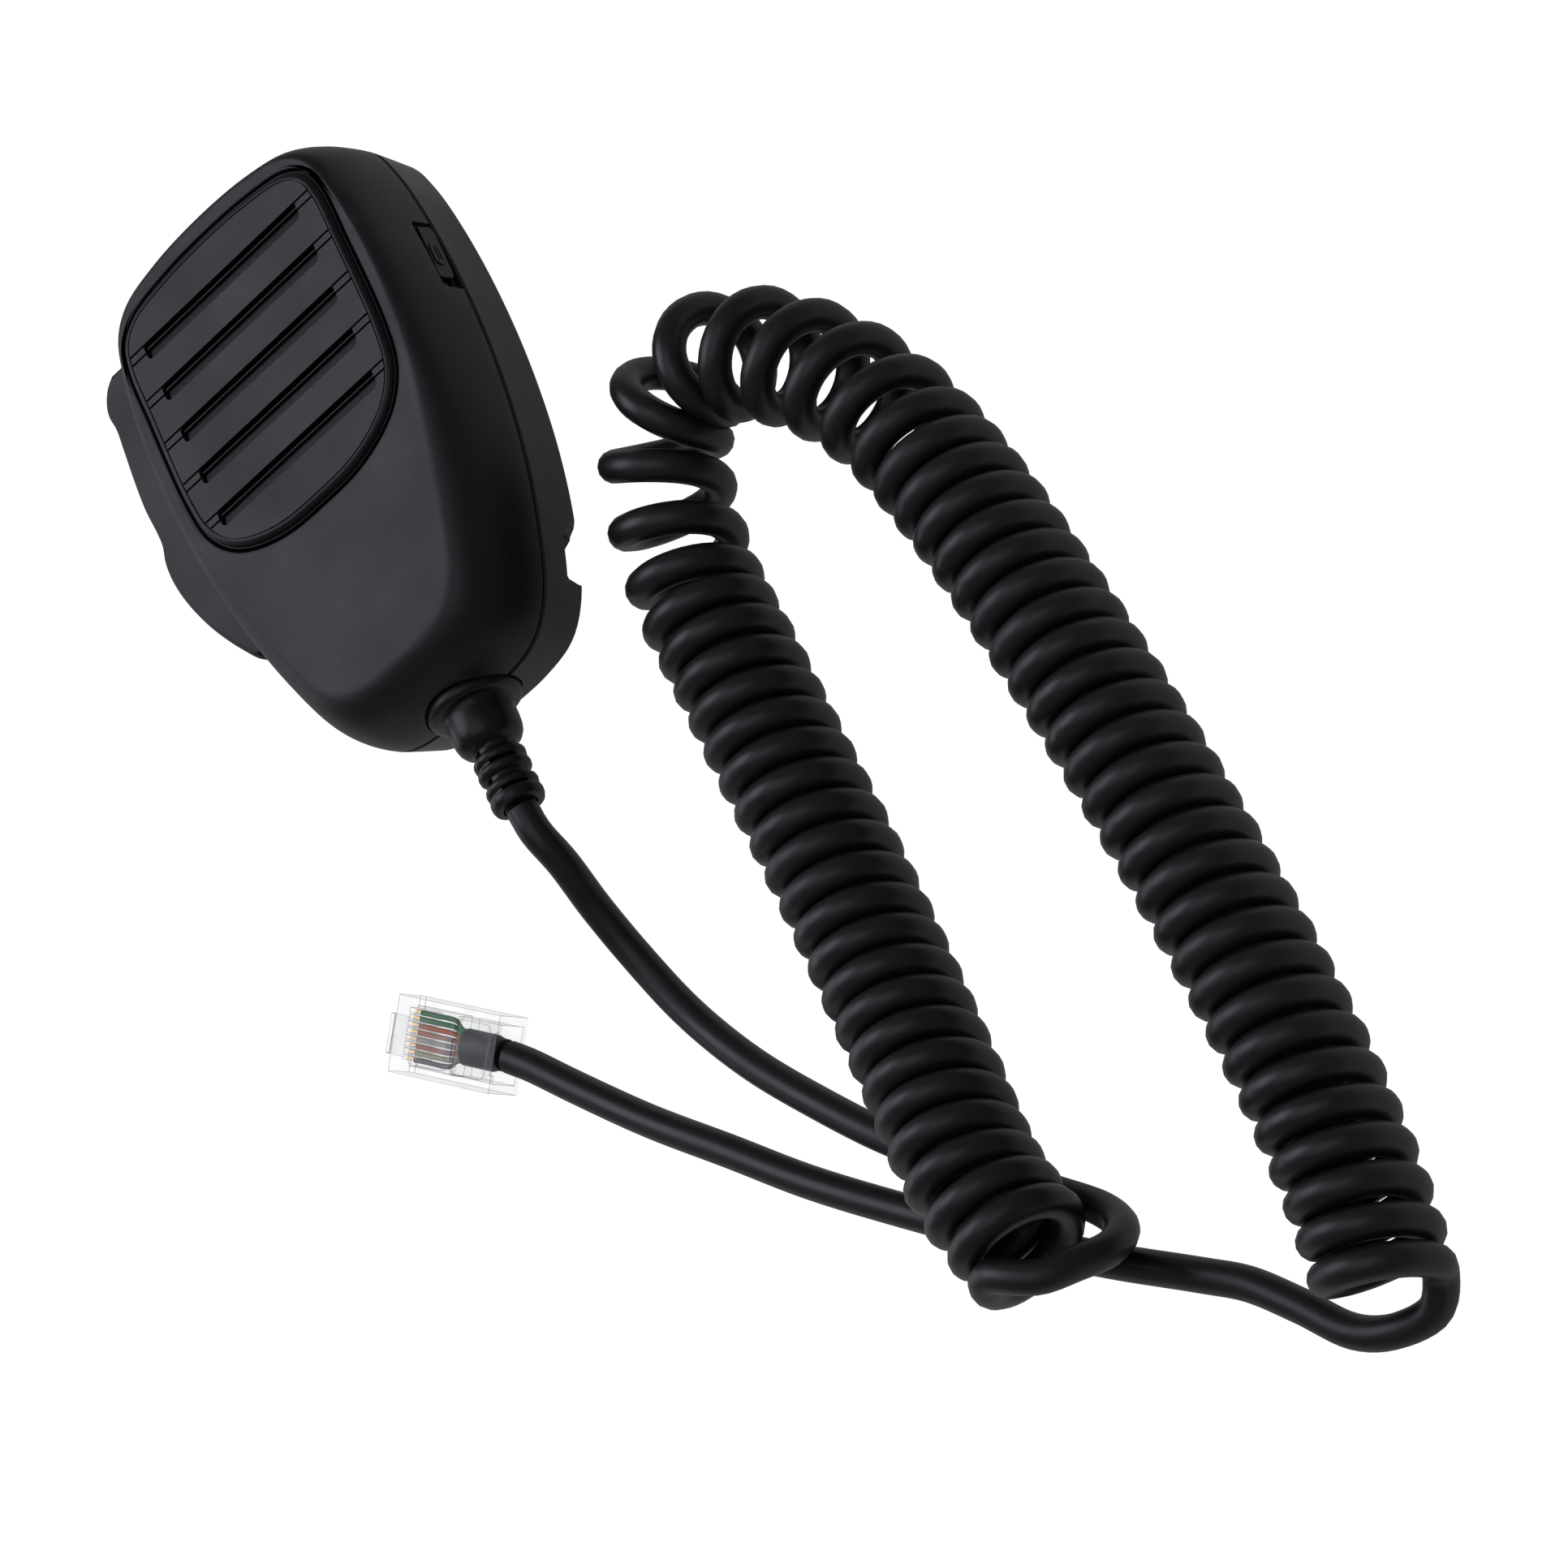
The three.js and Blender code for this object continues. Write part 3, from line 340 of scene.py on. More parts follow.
PARTING = mirrored([
    (0, -62.8), (8, -62.6), (14.5, -61), (19.2, -56.6), (23.7, -46.5), (27, -34.5), (29, -20),
    (29.4, -6), (28.6, 6), (27.1, 15), (24.9, 20.8), (20.5, 24.4), (11.5, 26.7), (0, 27.5),
])
FACE = mirrored([
    (0, -55.5), (6.5, -55.3), (11.5, -53.6), (14.8, -50), (17.6, -42.5), (20.9, -31.5), (24.2, -18.5),
    (25.3, -5.5), (24.9, 5.5), (23.5, 14), (21.6, 19), (18, 22), (10.5, 23.7), (0, 24.3),
])
BACK = mirrored([
    (0, -55.5), (7, -55.3), (12.4, -54), (16, -50.5), (19.4, -43), (21.8, -32.5), (23.2, -19),
    (23.4, -5.5), (22.8, 5.5), (21.6, 13.2), (20, 17.6), (16.6, 20), (9.5, 21.3), (0, 21.7),
])
PANEL = mirrored([
    (0, -27.9), (8, -27.5), (14.6, -25.6), (18.9, -22.9), (21.9, -18.6), (23.1, -12),
    (23.2, 4), (23, 12.8), (21.7, 17), (18, 19.9), (9.5, 21.4), (0, 21.8),
])


def inset(outline, depth):
    """The outline drawn in by a depth along its own normals; a negative depth grows it."""
    along = np.roll(outline, -1, 0) - np.roll(outline, 1, 0)
    along /= np.linalg.norm(along, axis=1)[:, None]
    return outline + np.column_stack([-along[:, 1], along[:, 0]]) * depth


def mixed(a, b, share):
    return a + (b - a) * share


def shoulder(steps):
    """A rounded quarter as pairs of rise and draw-in, both from 0 to 1."""
    angle = np.linspace(0, math.pi / 2, steps + 1)
    return np.column_stack([np.sin(angle), 1 - np.cos(angle)])


# %% [markdown]
# The shells' heights come from the frame. The front shell's skin runs from the inner lip, out over the
# parting edge, up the side, over the shoulder and in to the grille's window, then back along the inside, so
# it is one closed wall 2 mm thick. A small step in the lip lets the rear shell's tongue shut out the light.

# %% Front shell
GAP, WALL, LIP, TONGUE = 0.3, 2.0, 0.3, 1.3
front_low, front_high = (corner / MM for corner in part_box("front_cover"))
rear_low, rear_high = (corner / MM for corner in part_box("rear_cover"))
FRONT_Z, BACK_Z = front_high.z, rear_low.z
PART_Z = (front_low.z + rear_high.z) / 2


def wall_rings(flat, profile, start, end, draw):
    """Rings from the parting line at height start to the flat face at height end, drawn in by a depth."""
    rings = []
    for rise, share in profile:
        rings.append(raised(inset(mixed(PARTING, flat, share), draw), start + (end - start) * rise))
    return rings


def front_wall():
    start = PART_Z + GAP / 2
    window = inset(PANEL, -GAP)
    outer = wall_rings(FACE, shoulder(26), start + LIP, FRONT_Z, 0)
    inner = wall_rings(FACE, shoulder(12), start + TONGUE + GAP, FRONT_Z - WALL, WALL)
    return [
        raised(inset(PARTING, WALL), start + TONGUE),
        raised(inset(PARTING, WALL / 2), start + TONGUE),
        raised(inset(PARTING, WALL / 2), start),
        raised(inset(PARTING, LIP), start),
        *outer,
        *(raised(mixed(inset(FACE, 0.3), inset(window, -0.5), share), FRONT_Z) for share in (0, 0.5, 1)),
        raised(inset(window, -0.18), FRONT_Z),
        raised(inset(window, -0.06), FRONT_Z - 0.06),
        raised(window, FRONT_Z - 0.18),
        raised(window, FRONT_Z - WALL),
        raised(mixed(inset(FACE, WALL), window, 0.5), FRONT_Z - WALL),
        *inner[::-1],
    ]


front_shell = skin("front_shell", front_wall(), closed=True)
print(f"front shell from {PART_Z + GAP / 2:.2f} to {FRONT_Z:.2f} mm")

# %% [markdown]
# The shells are then cut for what passes through them: the talk lever on the left, the slide switch's
# recess on the right, and the boot where the cord comes out. The lever's and the boot's openings are cut
# from both shells alike, so their cutters are made by functions.

# %% Cut the front shell
lever_low, lever_high = (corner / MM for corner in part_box("ptt_lever"))
boot_low, boot_high = (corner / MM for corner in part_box("strain_relief"))
LEVER_CLEAR, LEVER_ROOM_X = 0.45, -24.4
BOOT_SEAT_R, CORD_HOLE_R = (boot_high.x - boot_low.x) / 2 + 0.4, 5
CASE_END_Y = front_low.y


def lever_opening():
    return block(
        lever_low.x - 6, LEVER_ROOM_X, lever_low.y - 1.2, lever_high.y + 0.9,
        lever_low.z - LEVER_CLEAR, lever_high.z + LEVER_CLEAR,
    )


def boot_openings():
    """Cutters for the seat of the boot's flange and for the hole behind it."""
    spans = ((BOOT_SEAT_R, -4.8, 1.2), (CORD_HOLE_R, -2, 6))
    return [
        turned("cutter", [(r, CASE_END_Y + out), (r, CASE_END_Y + within)], (0, PART_Z), "y", 64)
        for r, out, within in spans
    ]


RECESS_Y, RECESS_TOP, RECESS_FLOOR = (-8.2, 4.4), 22.8, 27.9


def recess_cutter():
    """The slide switch's recess: open at the parting line, with rounded upper corners."""
    radius, steps = 0.9, np.linspace(0, math.pi / 2, 6)
    low, high = RECESS_Y
    centre_z = RECESS_TOP - radius
    right = [(high - radius + radius * math.cos(a), centre_z + radius * math.sin(a)) for a in steps]
    left = [(low + radius - radius * math.sin(a), centre_z + radius * math.cos(a)) for a in steps]
    return prism([(low, PART_Z - 1), (high, PART_Z - 1), *right, *left], RECESS_FLOOR, 33, "x")


neck_slot = block(20, 32, -5, 0.3, 19.9, 21.9)
combined(front_shell, [lever_opening(), recess_cutter(), neck_slot, *boot_openings()])
rounded(front_shell, 0.14)
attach(front_shell, "case")
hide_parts("front_cover")
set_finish(front_shell, "front_shell")

# %% [markdown]
# The rear shell is built the same way, with a nearly straight side, a crisp corner and a chamfer into a flat
# back. Screw wells, a hole for the hanger's screw and a cross channel near the cord are cut from it, with
# bosses left standing inside. The channel deepens into a notch at each side, which breaks the case's outline.

# %% Rear shell
SCREWS = [(-21, 14.5), (21, 14.5), (-12.5, -39), (12.5, -39)]
SCREW_HEAD_Z, SCREW_HEAD_R, SCREW_WELL_Z, SCREW_HOLE_R = 9.0, 2.5, 11.1, 1.55
POST_R, POST_Z, HANGER_BORE_R = 4.2, 14, 1.8
ACROSS = 40
CHANNEL = [(-54.2, BACK_Z - 3), (-41.5, BACK_Z - 3), (-44.5, BACK_Z), (-47.6, 8.6), (-53.6, 8.6)]
DRAFT = [
    (0, 0), (0.12, 0.02), (0.33, 0.06), (0.52, 0.1), (0.685, 0.135), (0.7, 0.143), (0.712, 0.158),
    (0.725, 0.185), (0.76, 0.27), (0.85, 0.5), (0.94, 0.84), (0.962, 0.91), (0.982, 0.955), (0.994, 0.98),
    (1, 1),
]
END_NOTCH = [
    (-54.2, 2), (-44.7, 2), (-44.7, 9.4), (-45.2, 10.3), (-47.0, 12.4), (-47.6, 12.7), (-53.2, 12.7),
    (-53.6, 12.3), (-54.0, 10),
]
NOTCH_DEPTH, CORNER_SHARE = 4, 0.15


def rear_wall():
    start = PART_Z - GAP / 2
    groove = inset(PARTING, (WALL + GAP) / 2)
    outer = wall_rings(BACK, DRAFT, start - LIP, BACK_Z, 0)
    inner = wall_rings(BACK, DRAFT, start, BACK_Z + WALL, WALL)
    return [
        *inner[:0:-1],
        raised(inset(PARTING, WALL), start + TONGUE - GAP),
        raised(groove, start + TONGUE - GAP),
        raised(groove, start),
        raised(inset(PARTING, LIP), start),
        *outer,
        raised(inset(BACK, 0.3), BACK_Z),
        raised(mixed(BACK, np.array((0, -16)), 0.5), BACK_Z),
    ]


def end_notches(grow):
    """Cutters for the notch where the channel meets each side wall; or, grown, the walls around it."""
    middle_y = np.mean(END_NOTCH, axis=0)[0]
    grown = [(y + grow * np.sign(y - middle_y), z + (grow if z > 11 else 0)) for y, z in END_NOTCH]
    inner = inset(mixed(PARTING, BACK, CORNER_SHARE), NOTCH_DEPTH + grow)
    core = skin("core", [raised(inner, z) for z in (-5, PART_Z + 5)])
    return combined(prism(grown, -ACROSS, ACROSS, "x"), [core])


def rear_inside():
    """Bosses and the channel's inner wall, kept inside the shell's outer form."""
    whole = skin("whole", wall_rings(BACK, DRAFT, PART_Z - GAP / 2 - LIP, BACK_Z, 0.1))
    grown = [(y - WALL * (1 if y < -50 else -1), z + (WALL if z > BACK_Z else 0)) for y, z in CHANNEL]
    bosses = prism(grown, -ACROSS, ACROSS, "x", "bosses")
    posts = [turned("post", [(POST_R, BACK_Z), (POST_R, POST_Z)], at) for at in SCREWS]
    combined(bosses, [*posts, end_notches(WALL)], "UNION")
    return combined(bosses, [whole], "INTERSECT")


rear_shell = skin("rear_shell", rear_wall())
combined(rear_shell, [rear_inside()], "UNION")
wells = [turned("cutter", [(SCREW_HEAD_R + GAP, 0), (SCREW_HEAD_R + GAP, SCREW_WELL_Z)], at) for at in SCREWS]
shafts = [turned("cutter", [(SCREW_HOLE_R, 0), (SCREW_HOLE_R, 20)], at) for at in SCREWS]
hanger_bore = turned("cutter", [(HANGER_BORE_R, 0), (HANGER_BORE_R, 9)])
combined(rear_shell, [*wells, *shafts, hanger_bore, prism(CHANNEL, -ACROSS, ACROSS, "x")])
combined(rear_shell, [end_notches(0), lever_opening(), *boot_openings()])
rounded(rear_shell, 0.2)
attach(rear_shell, "case")
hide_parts("rear_cover")
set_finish(rear_shell, "rear_shell")

# %% [markdown]
# The grille is one plate let into the front shell's window. Its edge is a thin flat rim level with the case,
# then a rounded flank rises to a field of six slats. A fine groove runs round the field, and two more run
# from each slot's ends to it. The plate is a skin over insets of its outline, and the slots are cut through.

# %% Grille plate
FIELD_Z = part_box("grille_panel")[1].z / MM
SLOTS, SLOT_PITCH, SLOT_LENGTH, SLOT_WIDTH, SLOT_MIDDLE = 5, 7.75, 36, 2.95, -2.75
RIM, FLANK = 0.42, 1.05
FIELD_INSET = RIM + FLANK + 0.25
BEHIND, BEFORE = 28, 35
slot_tops = [SLOT_MIDDLE + (k - (SLOTS - 1) / 2) * SLOT_PITCH + SLOT_WIDTH / 2 for k in range(SLOTS)]


def plate_rings():
    rise = FIELD_Z - FRONT_Z + 0.1
    flank = [
        raised(inset(PANEL, RIM + FLANK * share), FRONT_Z - 0.1 + rise * up) for up, share in shoulder(10)
    ]
    return [
        raised(inset(PANEL, 0.15), 29.4),
        raised(inset(PANEL, 0.15), FRONT_Z - 0.08),
        raised(inset(PANEL, 0.22), FRONT_Z),
        raised(inset(PANEL, RIM - 0.08), FRONT_Z),
        raised(inset(PANEL, RIM), FRONT_Z - 0.06),
        *flank,
        raised(inset(PANEL, RIM + FLANK + 0.05), FIELD_Z - 0.03),
        raised(inset(PANEL, RIM + FLANK + 0.07), FIELD_Z - 0.3),
        raised(inset(PANEL, FIELD_INSET - 0.04), FIELD_Z - 0.3),
        raised(inset(PANEL, FIELD_INSET), FIELD_Z),
    ]


def slot_outline(top, shrink=0.0):
    """A slot seen from the front: small upper corners, and wide lower ones where the louvre scoops in."""
    half, small, wide = SLOT_LENGTH / 2 - shrink, 0.3, 1.0
    high, low = top - shrink, top - SLOT_WIDTH + shrink
    corners = (
        (half, low, wide, 270), (half, high, small, 0), (-half, high, small, 90), (-half, low, wide, 180),
    )
    points = []
    for x, y, r, start in corners:
        middle = (x - math.copysign(r, x), y + (r if y == low else -r))
        for step in range(6):
            angle = math.radians(start + 18 * step)
            points.append((middle[0] + r * math.cos(angle), middle[1] + r * math.sin(angle)))
    return points


def end_grooves(top):
    """Two fine grooves that run on from a slot's ends to the groove round the field."""
    lines = [block(-25, 25, y - 0.36, y, FIELD_Z - 0.45, FIELD_Z + 1) for y in (top, top - 1.35)]
    inside = prism(inset(PANEL, FIELD_INSET - 0.1), FIELD_Z - 1, FIELD_Z + 2)
    return combined(combined(lines[0], [lines[1]], "UNION"), [inside], "INTERSECT")


louvre_plate = skin("louvre_plate", plate_rings())
for top in slot_tops:
    combined(louvre_plate, [end_grooves(top), prism(slot_outline(top), BEHIND, BEFORE)])
rounded(louvre_plate, 0.1, angle=50)
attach(louvre_plate, "case")
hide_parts("grille_panel")
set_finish(louvre_plate, "grille")
print(f"{SLOTS} slots, field at {FIELD_Z:.2f} mm")

# %% [markdown]
# Each slot holds a louvre: a thin blade that stands up behind the opening, and a floor that slopes down to
# it. Sound passes over the blade, and rain and grit don't. The blade's lip is the bright line in each slot.
# One profile drawn along the slot makes blade and floor together, and the slot's outline trims its ends.

# %% Louvre blades
LOUVRE = [
    (-0.72, -0.45), (-0.78, -0.32), (-0.98, -0.32), (-1.05, -0.42), (-1.08, -0.85), (-2.86, -0.45),
    (-2.86, -2.1), (-0.72, -2.1),
]
for number, top in enumerate(slot_tops, 1):
    blade = prism([(top + y, FIELD_Z + z) for y, z in LOUVRE], -17.6, 17.9, "x", f"louvre_{number}")
    combined(blade, [prism(slot_outline(top, 0.04), BEHIND, BEFORE)], "INTERSECT")
    rounded(blade, 0.05)
    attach(blade, "case")
    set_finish(blade, "grille")

# %% [markdown]
# The talk lever is a long moulded bar on the left side, hinged near the cord. The thumb meets a raised pad
# with shallow ridges on its lower half. The bar is a skin over its side outline with rounded edges front and
# rear, and the hinge's lug is joined to it.

# %% Talk lever
LEVER_INNER = [(-26.2, -26), (-28.2, 22.1)]
LEVER_OUTER = [
    (-33.8, 22.1), (-35.7, 20.8), (-37.2, 18.6), (-37.7, 16.6), (-37.4, 14), (-37.7, 10.5), (-38.3, 4),
    (-38.5, -0.5), (-38.2, -5.2), (-38.25, -7.4), (-39, -10), (-39.15, -13), (-38.4, -17.6), (-35.9, -24.4),
    (-32.2, -30.9), (-29.8, -34), (-28.2, -34.3),
]
LEVER_ROUND, LEVER_DRAW = 1.8, 1.2
PIVOT, PIN_R, KNUCKLE_R = (-21.5, -28.5), 1.1, 2.2


def lever_bar():
    outline = np.concatenate([smooth_line(LEVER_OUTER, steps=10), [(-27.5, -34.1)], LEVER_INNER])
    outline = evenly(outline, 220, closed=True)
    rises = shoulder(8)
    low, high = lever_low.z, lever_high.z
    lower = [raised(inset(outline, LEVER_DRAW * s), low + LEVER_ROUND * (1 - r)) for r, s in rises[::-1]]
    upper = [raised(inset(outline, LEVER_DRAW * s), high - LEVER_ROUND * (1 - r)) for r, s in rises]
    return skin("talk_lever", [*lower, *upper])


def pad_ridges():
    """Cutters for shallow scallops across the thumb pad."""
    line = smooth_line(LEVER_OUTER, steps=10)
    low, high = lever_low.z + 2, lever_high.z - 2
    profile = [(0.2, low), (0.55, low + 0.6), (0.55, high - 0.6), (0.2, high)]
    cutters = []
    for y in np.arange(-9.6, -21, -1.6):
        x = np.interp(y, line[::-1, 1], line[::-1, 0])
        cutters.append(turned("cutter", profile, (x - 0.25, y)))
    return cutters


talk_lever = lever_bar()
lug = block(-29, PIVOT[0], PIVOT[1] - KNUCKLE_R, PIVOT[1] + KNUCKLE_R, lever_low.z + 1, lever_high.z - 1)
knuckle = turned("knuckle", [(KNUCKLE_R, lever_low.z + 0.4), (KNUCKLE_R, lever_high.z - 0.4)], PIVOT)
combined(talk_lever, [lug, knuckle], "UNION")
combined(talk_lever, [turned("cutter", [(PIN_R, 0), (PIN_R, 40)], PIVOT), *pad_ridges()])
rounded(talk_lever, 0.12)
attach(talk_lever, "ptt")
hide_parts("ptt_lever")
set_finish(talk_lever, "lever_plastic")

# %% [markdown]
# The slide switch's knob fills most of its recess. Its ends slope, and a small oval pad with two grooves
# gives the fingertip a hold. It is a bevelled plate with the pad joined on and the grooves cut in.

# %% Slide knob
knob_low, knob_high = (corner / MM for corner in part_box("lock_switch_knob"))
KNOB_BACK_X = RECESS_FLOOR + GAP
KNOB_FACE_X = KNOB_BACK_X + 0.85
PAD_Y, PAD_Z = (knob_low.y + knob_high.y) / 2 - 0.3, 20.65


def oval(half_y, half_z, middle, radius, steps=7):
    """A rounded rectangle across the knob's face."""
    points = []
    for sy, sz, start in ((1, 1, 0), (-1, 1, 90), (-1, -1, 180), (1, -1, 270)):
        for step in range(steps):
            angle = math.radians(start + 90 * step / (steps - 1))
            points.append((
                middle[0] + sy * (half_y - radius) + radius * math.cos(angle),
                middle[1] + sz * (half_z - radius) + radius * math.sin(angle),
            ))
    return points


def knob_plate():
    low, high, bottom, top = knob_low.y, knob_high.y, knob_low.z, knob_high.z
    outline = [
        (low + 0.9, bottom), (high - 0.9, bottom), (high - 0.25, bottom + 0.35), (high, bottom + 0.9),
        (high - 0.35, top), (low + 0.2, top), (low, top - 0.5), (low + 0.2, bottom + 0.6),
    ]
    plate = prism(outline, KNOB_BACK_X, KNOB_FACE_X, "x", "slide_knob")
    neck = block(25.9, RECESS_FLOOR + 0.6, -3, 0, 20.2, 21.6)
    return combined(plate, [neck], "UNION")


slide_knob = knob_plate()
pad = prism(oval(2.1, 1.15, (PAD_Y, PAD_Z), 1.1), KNOB_BACK_X, KNOB_FACE_X + 0.22, "x", "pad")
combined(slide_knob, [pad], "UNION")
combined(slide_knob, [
    prism(oval(1.25, 0.14, (PAD_Y, z), 0.13), KNOB_FACE_X + 0.04, KNOB_FACE_X + 1, "x")
    for z in (PAD_Z - 0.3, PAD_Z + 0.3)
])
rounded(slide_knob, 0.12)
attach(slide_knob, "lock")
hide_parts("lock_switch_knob")
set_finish(slide_knob, "lever_plastic")

# %% [markdown]
# The boot is moulded in soft rubber. A flange seats against the case, a cup holds the cord stiff, and pairs
# of ribs with windows between them let the end flex, so the cord never bends sharply where it leaves. The
# whole boot tapers outward from the case. It is a turned ring, and its windows are cut at alternating sides.

# %% Cord boot
BORE = 2.75
BOOT = [
    (BORE, -5.8), (5.5, -5.8), (5.5, -4.3), (4.7, -4.3), (4.7, -0.9), (7.2, -0.9), (7.4, -0.5), (7.4, 0.3),
    (7.2, 0.8), (6.6, 1.15), (5.75, 1.25), (5.45, 1.6), (5.4, 2.6), (5.4, 4.2), (5.3, 5.6), (5.05, 6.5),
    (4.6, 7.2), (4.0, 7.65), (3.45, 7.9), (3.3, 8.2), (3.3, 9.0), (3.55, 9.3), (4.0, 9.5), (4.1, 9.8),
    (4.0, 10.5), (3.7, 10.8), (3.7, 11.1), (4.05, 11.4), (4.15, 11.8), (4.05, 12.4), (3.7, 12.8),
    (3.3, 13.0), (3.3, 13.8), (3.55, 14.1), (4.0, 14.3), (4.1, 14.7), (4.0, 15.3), (3.7, 15.6), (3.7, 15.9),
    (4.05, 16.1), (4.15, 16.5), (4.1, 17.2), (3.85, 17.8), (3.3, 18), (BORE, 18),
]
WINDOWS = [(8.6, 0.7, 0), (11, 0.62, 90), (13.4, 0.75, 0), (15.75, 0.62, 90)]


def boot_windows():
    """Slots right through the wall, two to a level, turned a quarter from one level to the next."""
    cutters = []
    for out, tall, quarter in WINDOWS:
        for side in (0, 180):
            slot = block(2.2, 6, -2.0, 2.0, -tall / 2, tall / 2)
            slot.data.transform(Matrix.Rotation(math.radians(90), 4, "X"))
            slot.data.transform(Matrix.Rotation(math.radians(quarter + side + 45), 4, "Y"))
            slot.data.transform(Matrix.Translation(Vector((0, CASE_END_Y - out, PART_Z)) * MM))
            cutters.append(slot)
    return cutters


profile = [(r, CASE_END_Y - out) for r, out in BOOT]
cord_boot = turned("cord_boot", profile, (0, PART_Z), "y", 72, closed=True)
combined(cord_boot, boot_windows())
rounded(cord_boot, 0.1)
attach(cord_boot, "case")
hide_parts("strain_relief")
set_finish(cord_boot, "boot_rubber")

# %% [markdown]
# Behind the case, a steel button hangs the microphone on a clip, and four small screws close the shells.
# They are turned pieces, since a lathe or a header makes the real ones. The screws' cross recess is cut.

# %% Hanger and screws
button = [
    (3.6, 0.12), (3.8, 0), (5.9, 0), (6.3, 0.12), (6.5, 0.45), (6.5, 1.7), (6.35, 2.05), (6.0, 2.2),
    (1.8, 2.2), (1.8, 1.1),
]
hanger_button = turned("hanger_button", button, sides=96)
rounded(hanger_button, 0.04)
hanger_post = turned("hanger_post", [(1.8, 2.5), (4, 2.5), (4, 5.2), (1.8, 5.2)], sides=72, closed=True)
rounded(hanger_post, 0.15)
for piece, node in ((hanger_button, "hanger_head"), (hanger_post, "hanger_stem")):
    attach(piece, "case")
    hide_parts(node)
    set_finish(piece, "steel")


def pan_screw(name, at, node):
    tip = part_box(node)[1].z / MM
    z = SCREW_HEAD_Z
    head = [
        (1.4, z), (1.9, z + 0.08), (2.3, z + 0.35), (2.5, z + 0.8), (2.5, z + 1.7), (2.4, z + 1.8),
        (1.25, z + 1.8), (1.25, tip - 1), (0.5, tip),
    ]
    screw = turned(name, head, at)
    x, y = at
    arms = ((1.35, 0.3), (0.3, 1.35))
    combined(screw, [block(x - long, x + long, y - wide, y + wide, z - 1, z + 0.95) for long, wide in arms])
    rounded(screw, 0.05)
    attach(screw, "case")
    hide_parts(node)
    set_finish(screw, "steel")


for number, at in enumerate(SCREWS, 1):
    pan_screw(f"pan_screw_{number}", at, f"case_screw_{number}")

# %% [markdown]
# The modular plug is a clear shell with eight gilt contacts. The jacket's flattened end and the coloured
# wires show through it, and a springy latch runs back over it from the nose. It is built straight, from its
# rear face along X, and then turned to where it lies.

# %% Plug shell
PLUG_AT, PLUG_TURN = Vector((-31.2, -102.7, 0)), 138
PLUG_L, PLUG_W, PLUG_H = 21.5, 11.7, 6.6
LIFT = 0.02
CONTACTS, CONTACT_PITCH = 8, 1.02
plug_place = Matrix.Translation((PLUG_AT + Vector((0, 0, LIFT))) * MM)
to_plug = plug_place @ Matrix.Rotation(math.radians(PLUG_TURN), 4, "Z")


def placed_on_plug(piece, body, node, slot_name):
    piece.data.transform(to_plug)
    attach(piece, body)
    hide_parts(node)
    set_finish(piece, slot_name)
    return piece


def clear_edged(piece, width):
    """Rounds a clear piece's edges and gives them its second finish, painted shade for the grey lines that
    clear edges show as they catch the light.
    """
    for name in ("clear_faces", "clear_painted_edge_shade"):
        piece.data.materials.append(bpy.data.materials.new(name))
    return rounded(piece, width, 2, strip=1)


def contact_y(i):
    return (i - (CONTACTS - 1) / 2) * CONTACT_PITCH


def window(x0, x1, low):
    """A rounded opening from a height to the plug's upper face."""
    return prism(oval((x1 - x0) / 2, 4.1, ((x0 + x1) / 2, 0), 0.9), low, 8)


side = [
    (0, 0), (PLUG_L - 0.6, 0), (PLUG_L, 0.6), (PLUG_L, 5.3), (PLUG_L - 1.3, PLUG_H), (0.4, PLUG_H),
    (0, PLUG_H - 0.3),
]
plug_shell = prism(side, -PLUG_W / 2, PLUG_W / 2, "y", "plug_shell")
combined(plug_shell, [
    block(-1, 8.8, -4.4, 4.4, 0.8, 5.6),
    block(8.7, 18.4, -4.6, 4.6, 2.5, 4.4),
    window(1.4, 8.2, 6.1),
    window(9.6, 16.6, 5.2),
    block(-1, 0.6, -3.2, 3.2, 5, 6.2),
])
combined(plug_shell, [
    block(17.2, PLUG_L + 1, contact_y(i) - 0.35, contact_y(i) + 0.35, -1, 2.42) for i in range(CONTACTS)
])
clear_edged(plug_shell, 0.25)
placed_on_plug(plug_shell, "case", "plug_body", "clear_plastic")


# %% [markdown]
# The latch is one springy strip: wide and thin at its root on the nose, narrowing to a thumb tab. The flat
# jacket end is squeezed by the plug's wedge, so its rings change from round to oval. Each wire is a fine tube
# that fans out from the jacket to its own channel.

# %% Latch, jacket end and wires
LATCH_ROOT_X, LATCH_TIP_X, LATCH_NECK_X, LATCH_RISE = 20.2, 3.5, 12.5, 0.24


def latch_strip():
    rings = []
    for x in np.linspace(LATCH_ROOT_X, LATCH_TIP_X, 30):
        run = LATCH_ROOT_X - x
        bow = 0.3 * math.sin(math.pi * run / (LATCH_ROOT_X - LATCH_TIP_X))
        width = 3.1 - 1.5 * np.clip((LATCH_NECK_X - x) / 1.6, 0, 1)
        middle = PLUG_H + GAP + 0.5 + run * LATCH_RISE - bow
        rings.append(raised(oval(width, 0.5, (0, middle), 0.3, 4), x, "x"))
    return skin("plug_tab", rings)


plug_tab = latch_strip()
clear_edged(plug_tab, 0.14)
placed_on_plug(plug_tab, "latch", "plug_latch", "clear_plastic")

JACKET_R, MIDDLE_Z = 2.45, 3.45
JACKET = [(0.25, 0, 1), (1.2, 0, 1), (2.2, 1, 1), (7.9, 1, 1), (8.2, 1, 1), (8.45, 0.95, 0.88)]
plug_jacket = skin("plug_jacket", [
    raised(circle(reach, 36) * (JACKET_R + 0.35 * flat, JACKET_R - 0.6 * flat) + (0, MIDDLE_Z), x, "x")
    for x, flat, reach in JACKET
])
rounded(plug_jacket, 0.1)
placed_on_plug(plug_jacket, "case", "plug_jacket_end", "cord_jacket")


WIRE_R = 0.4


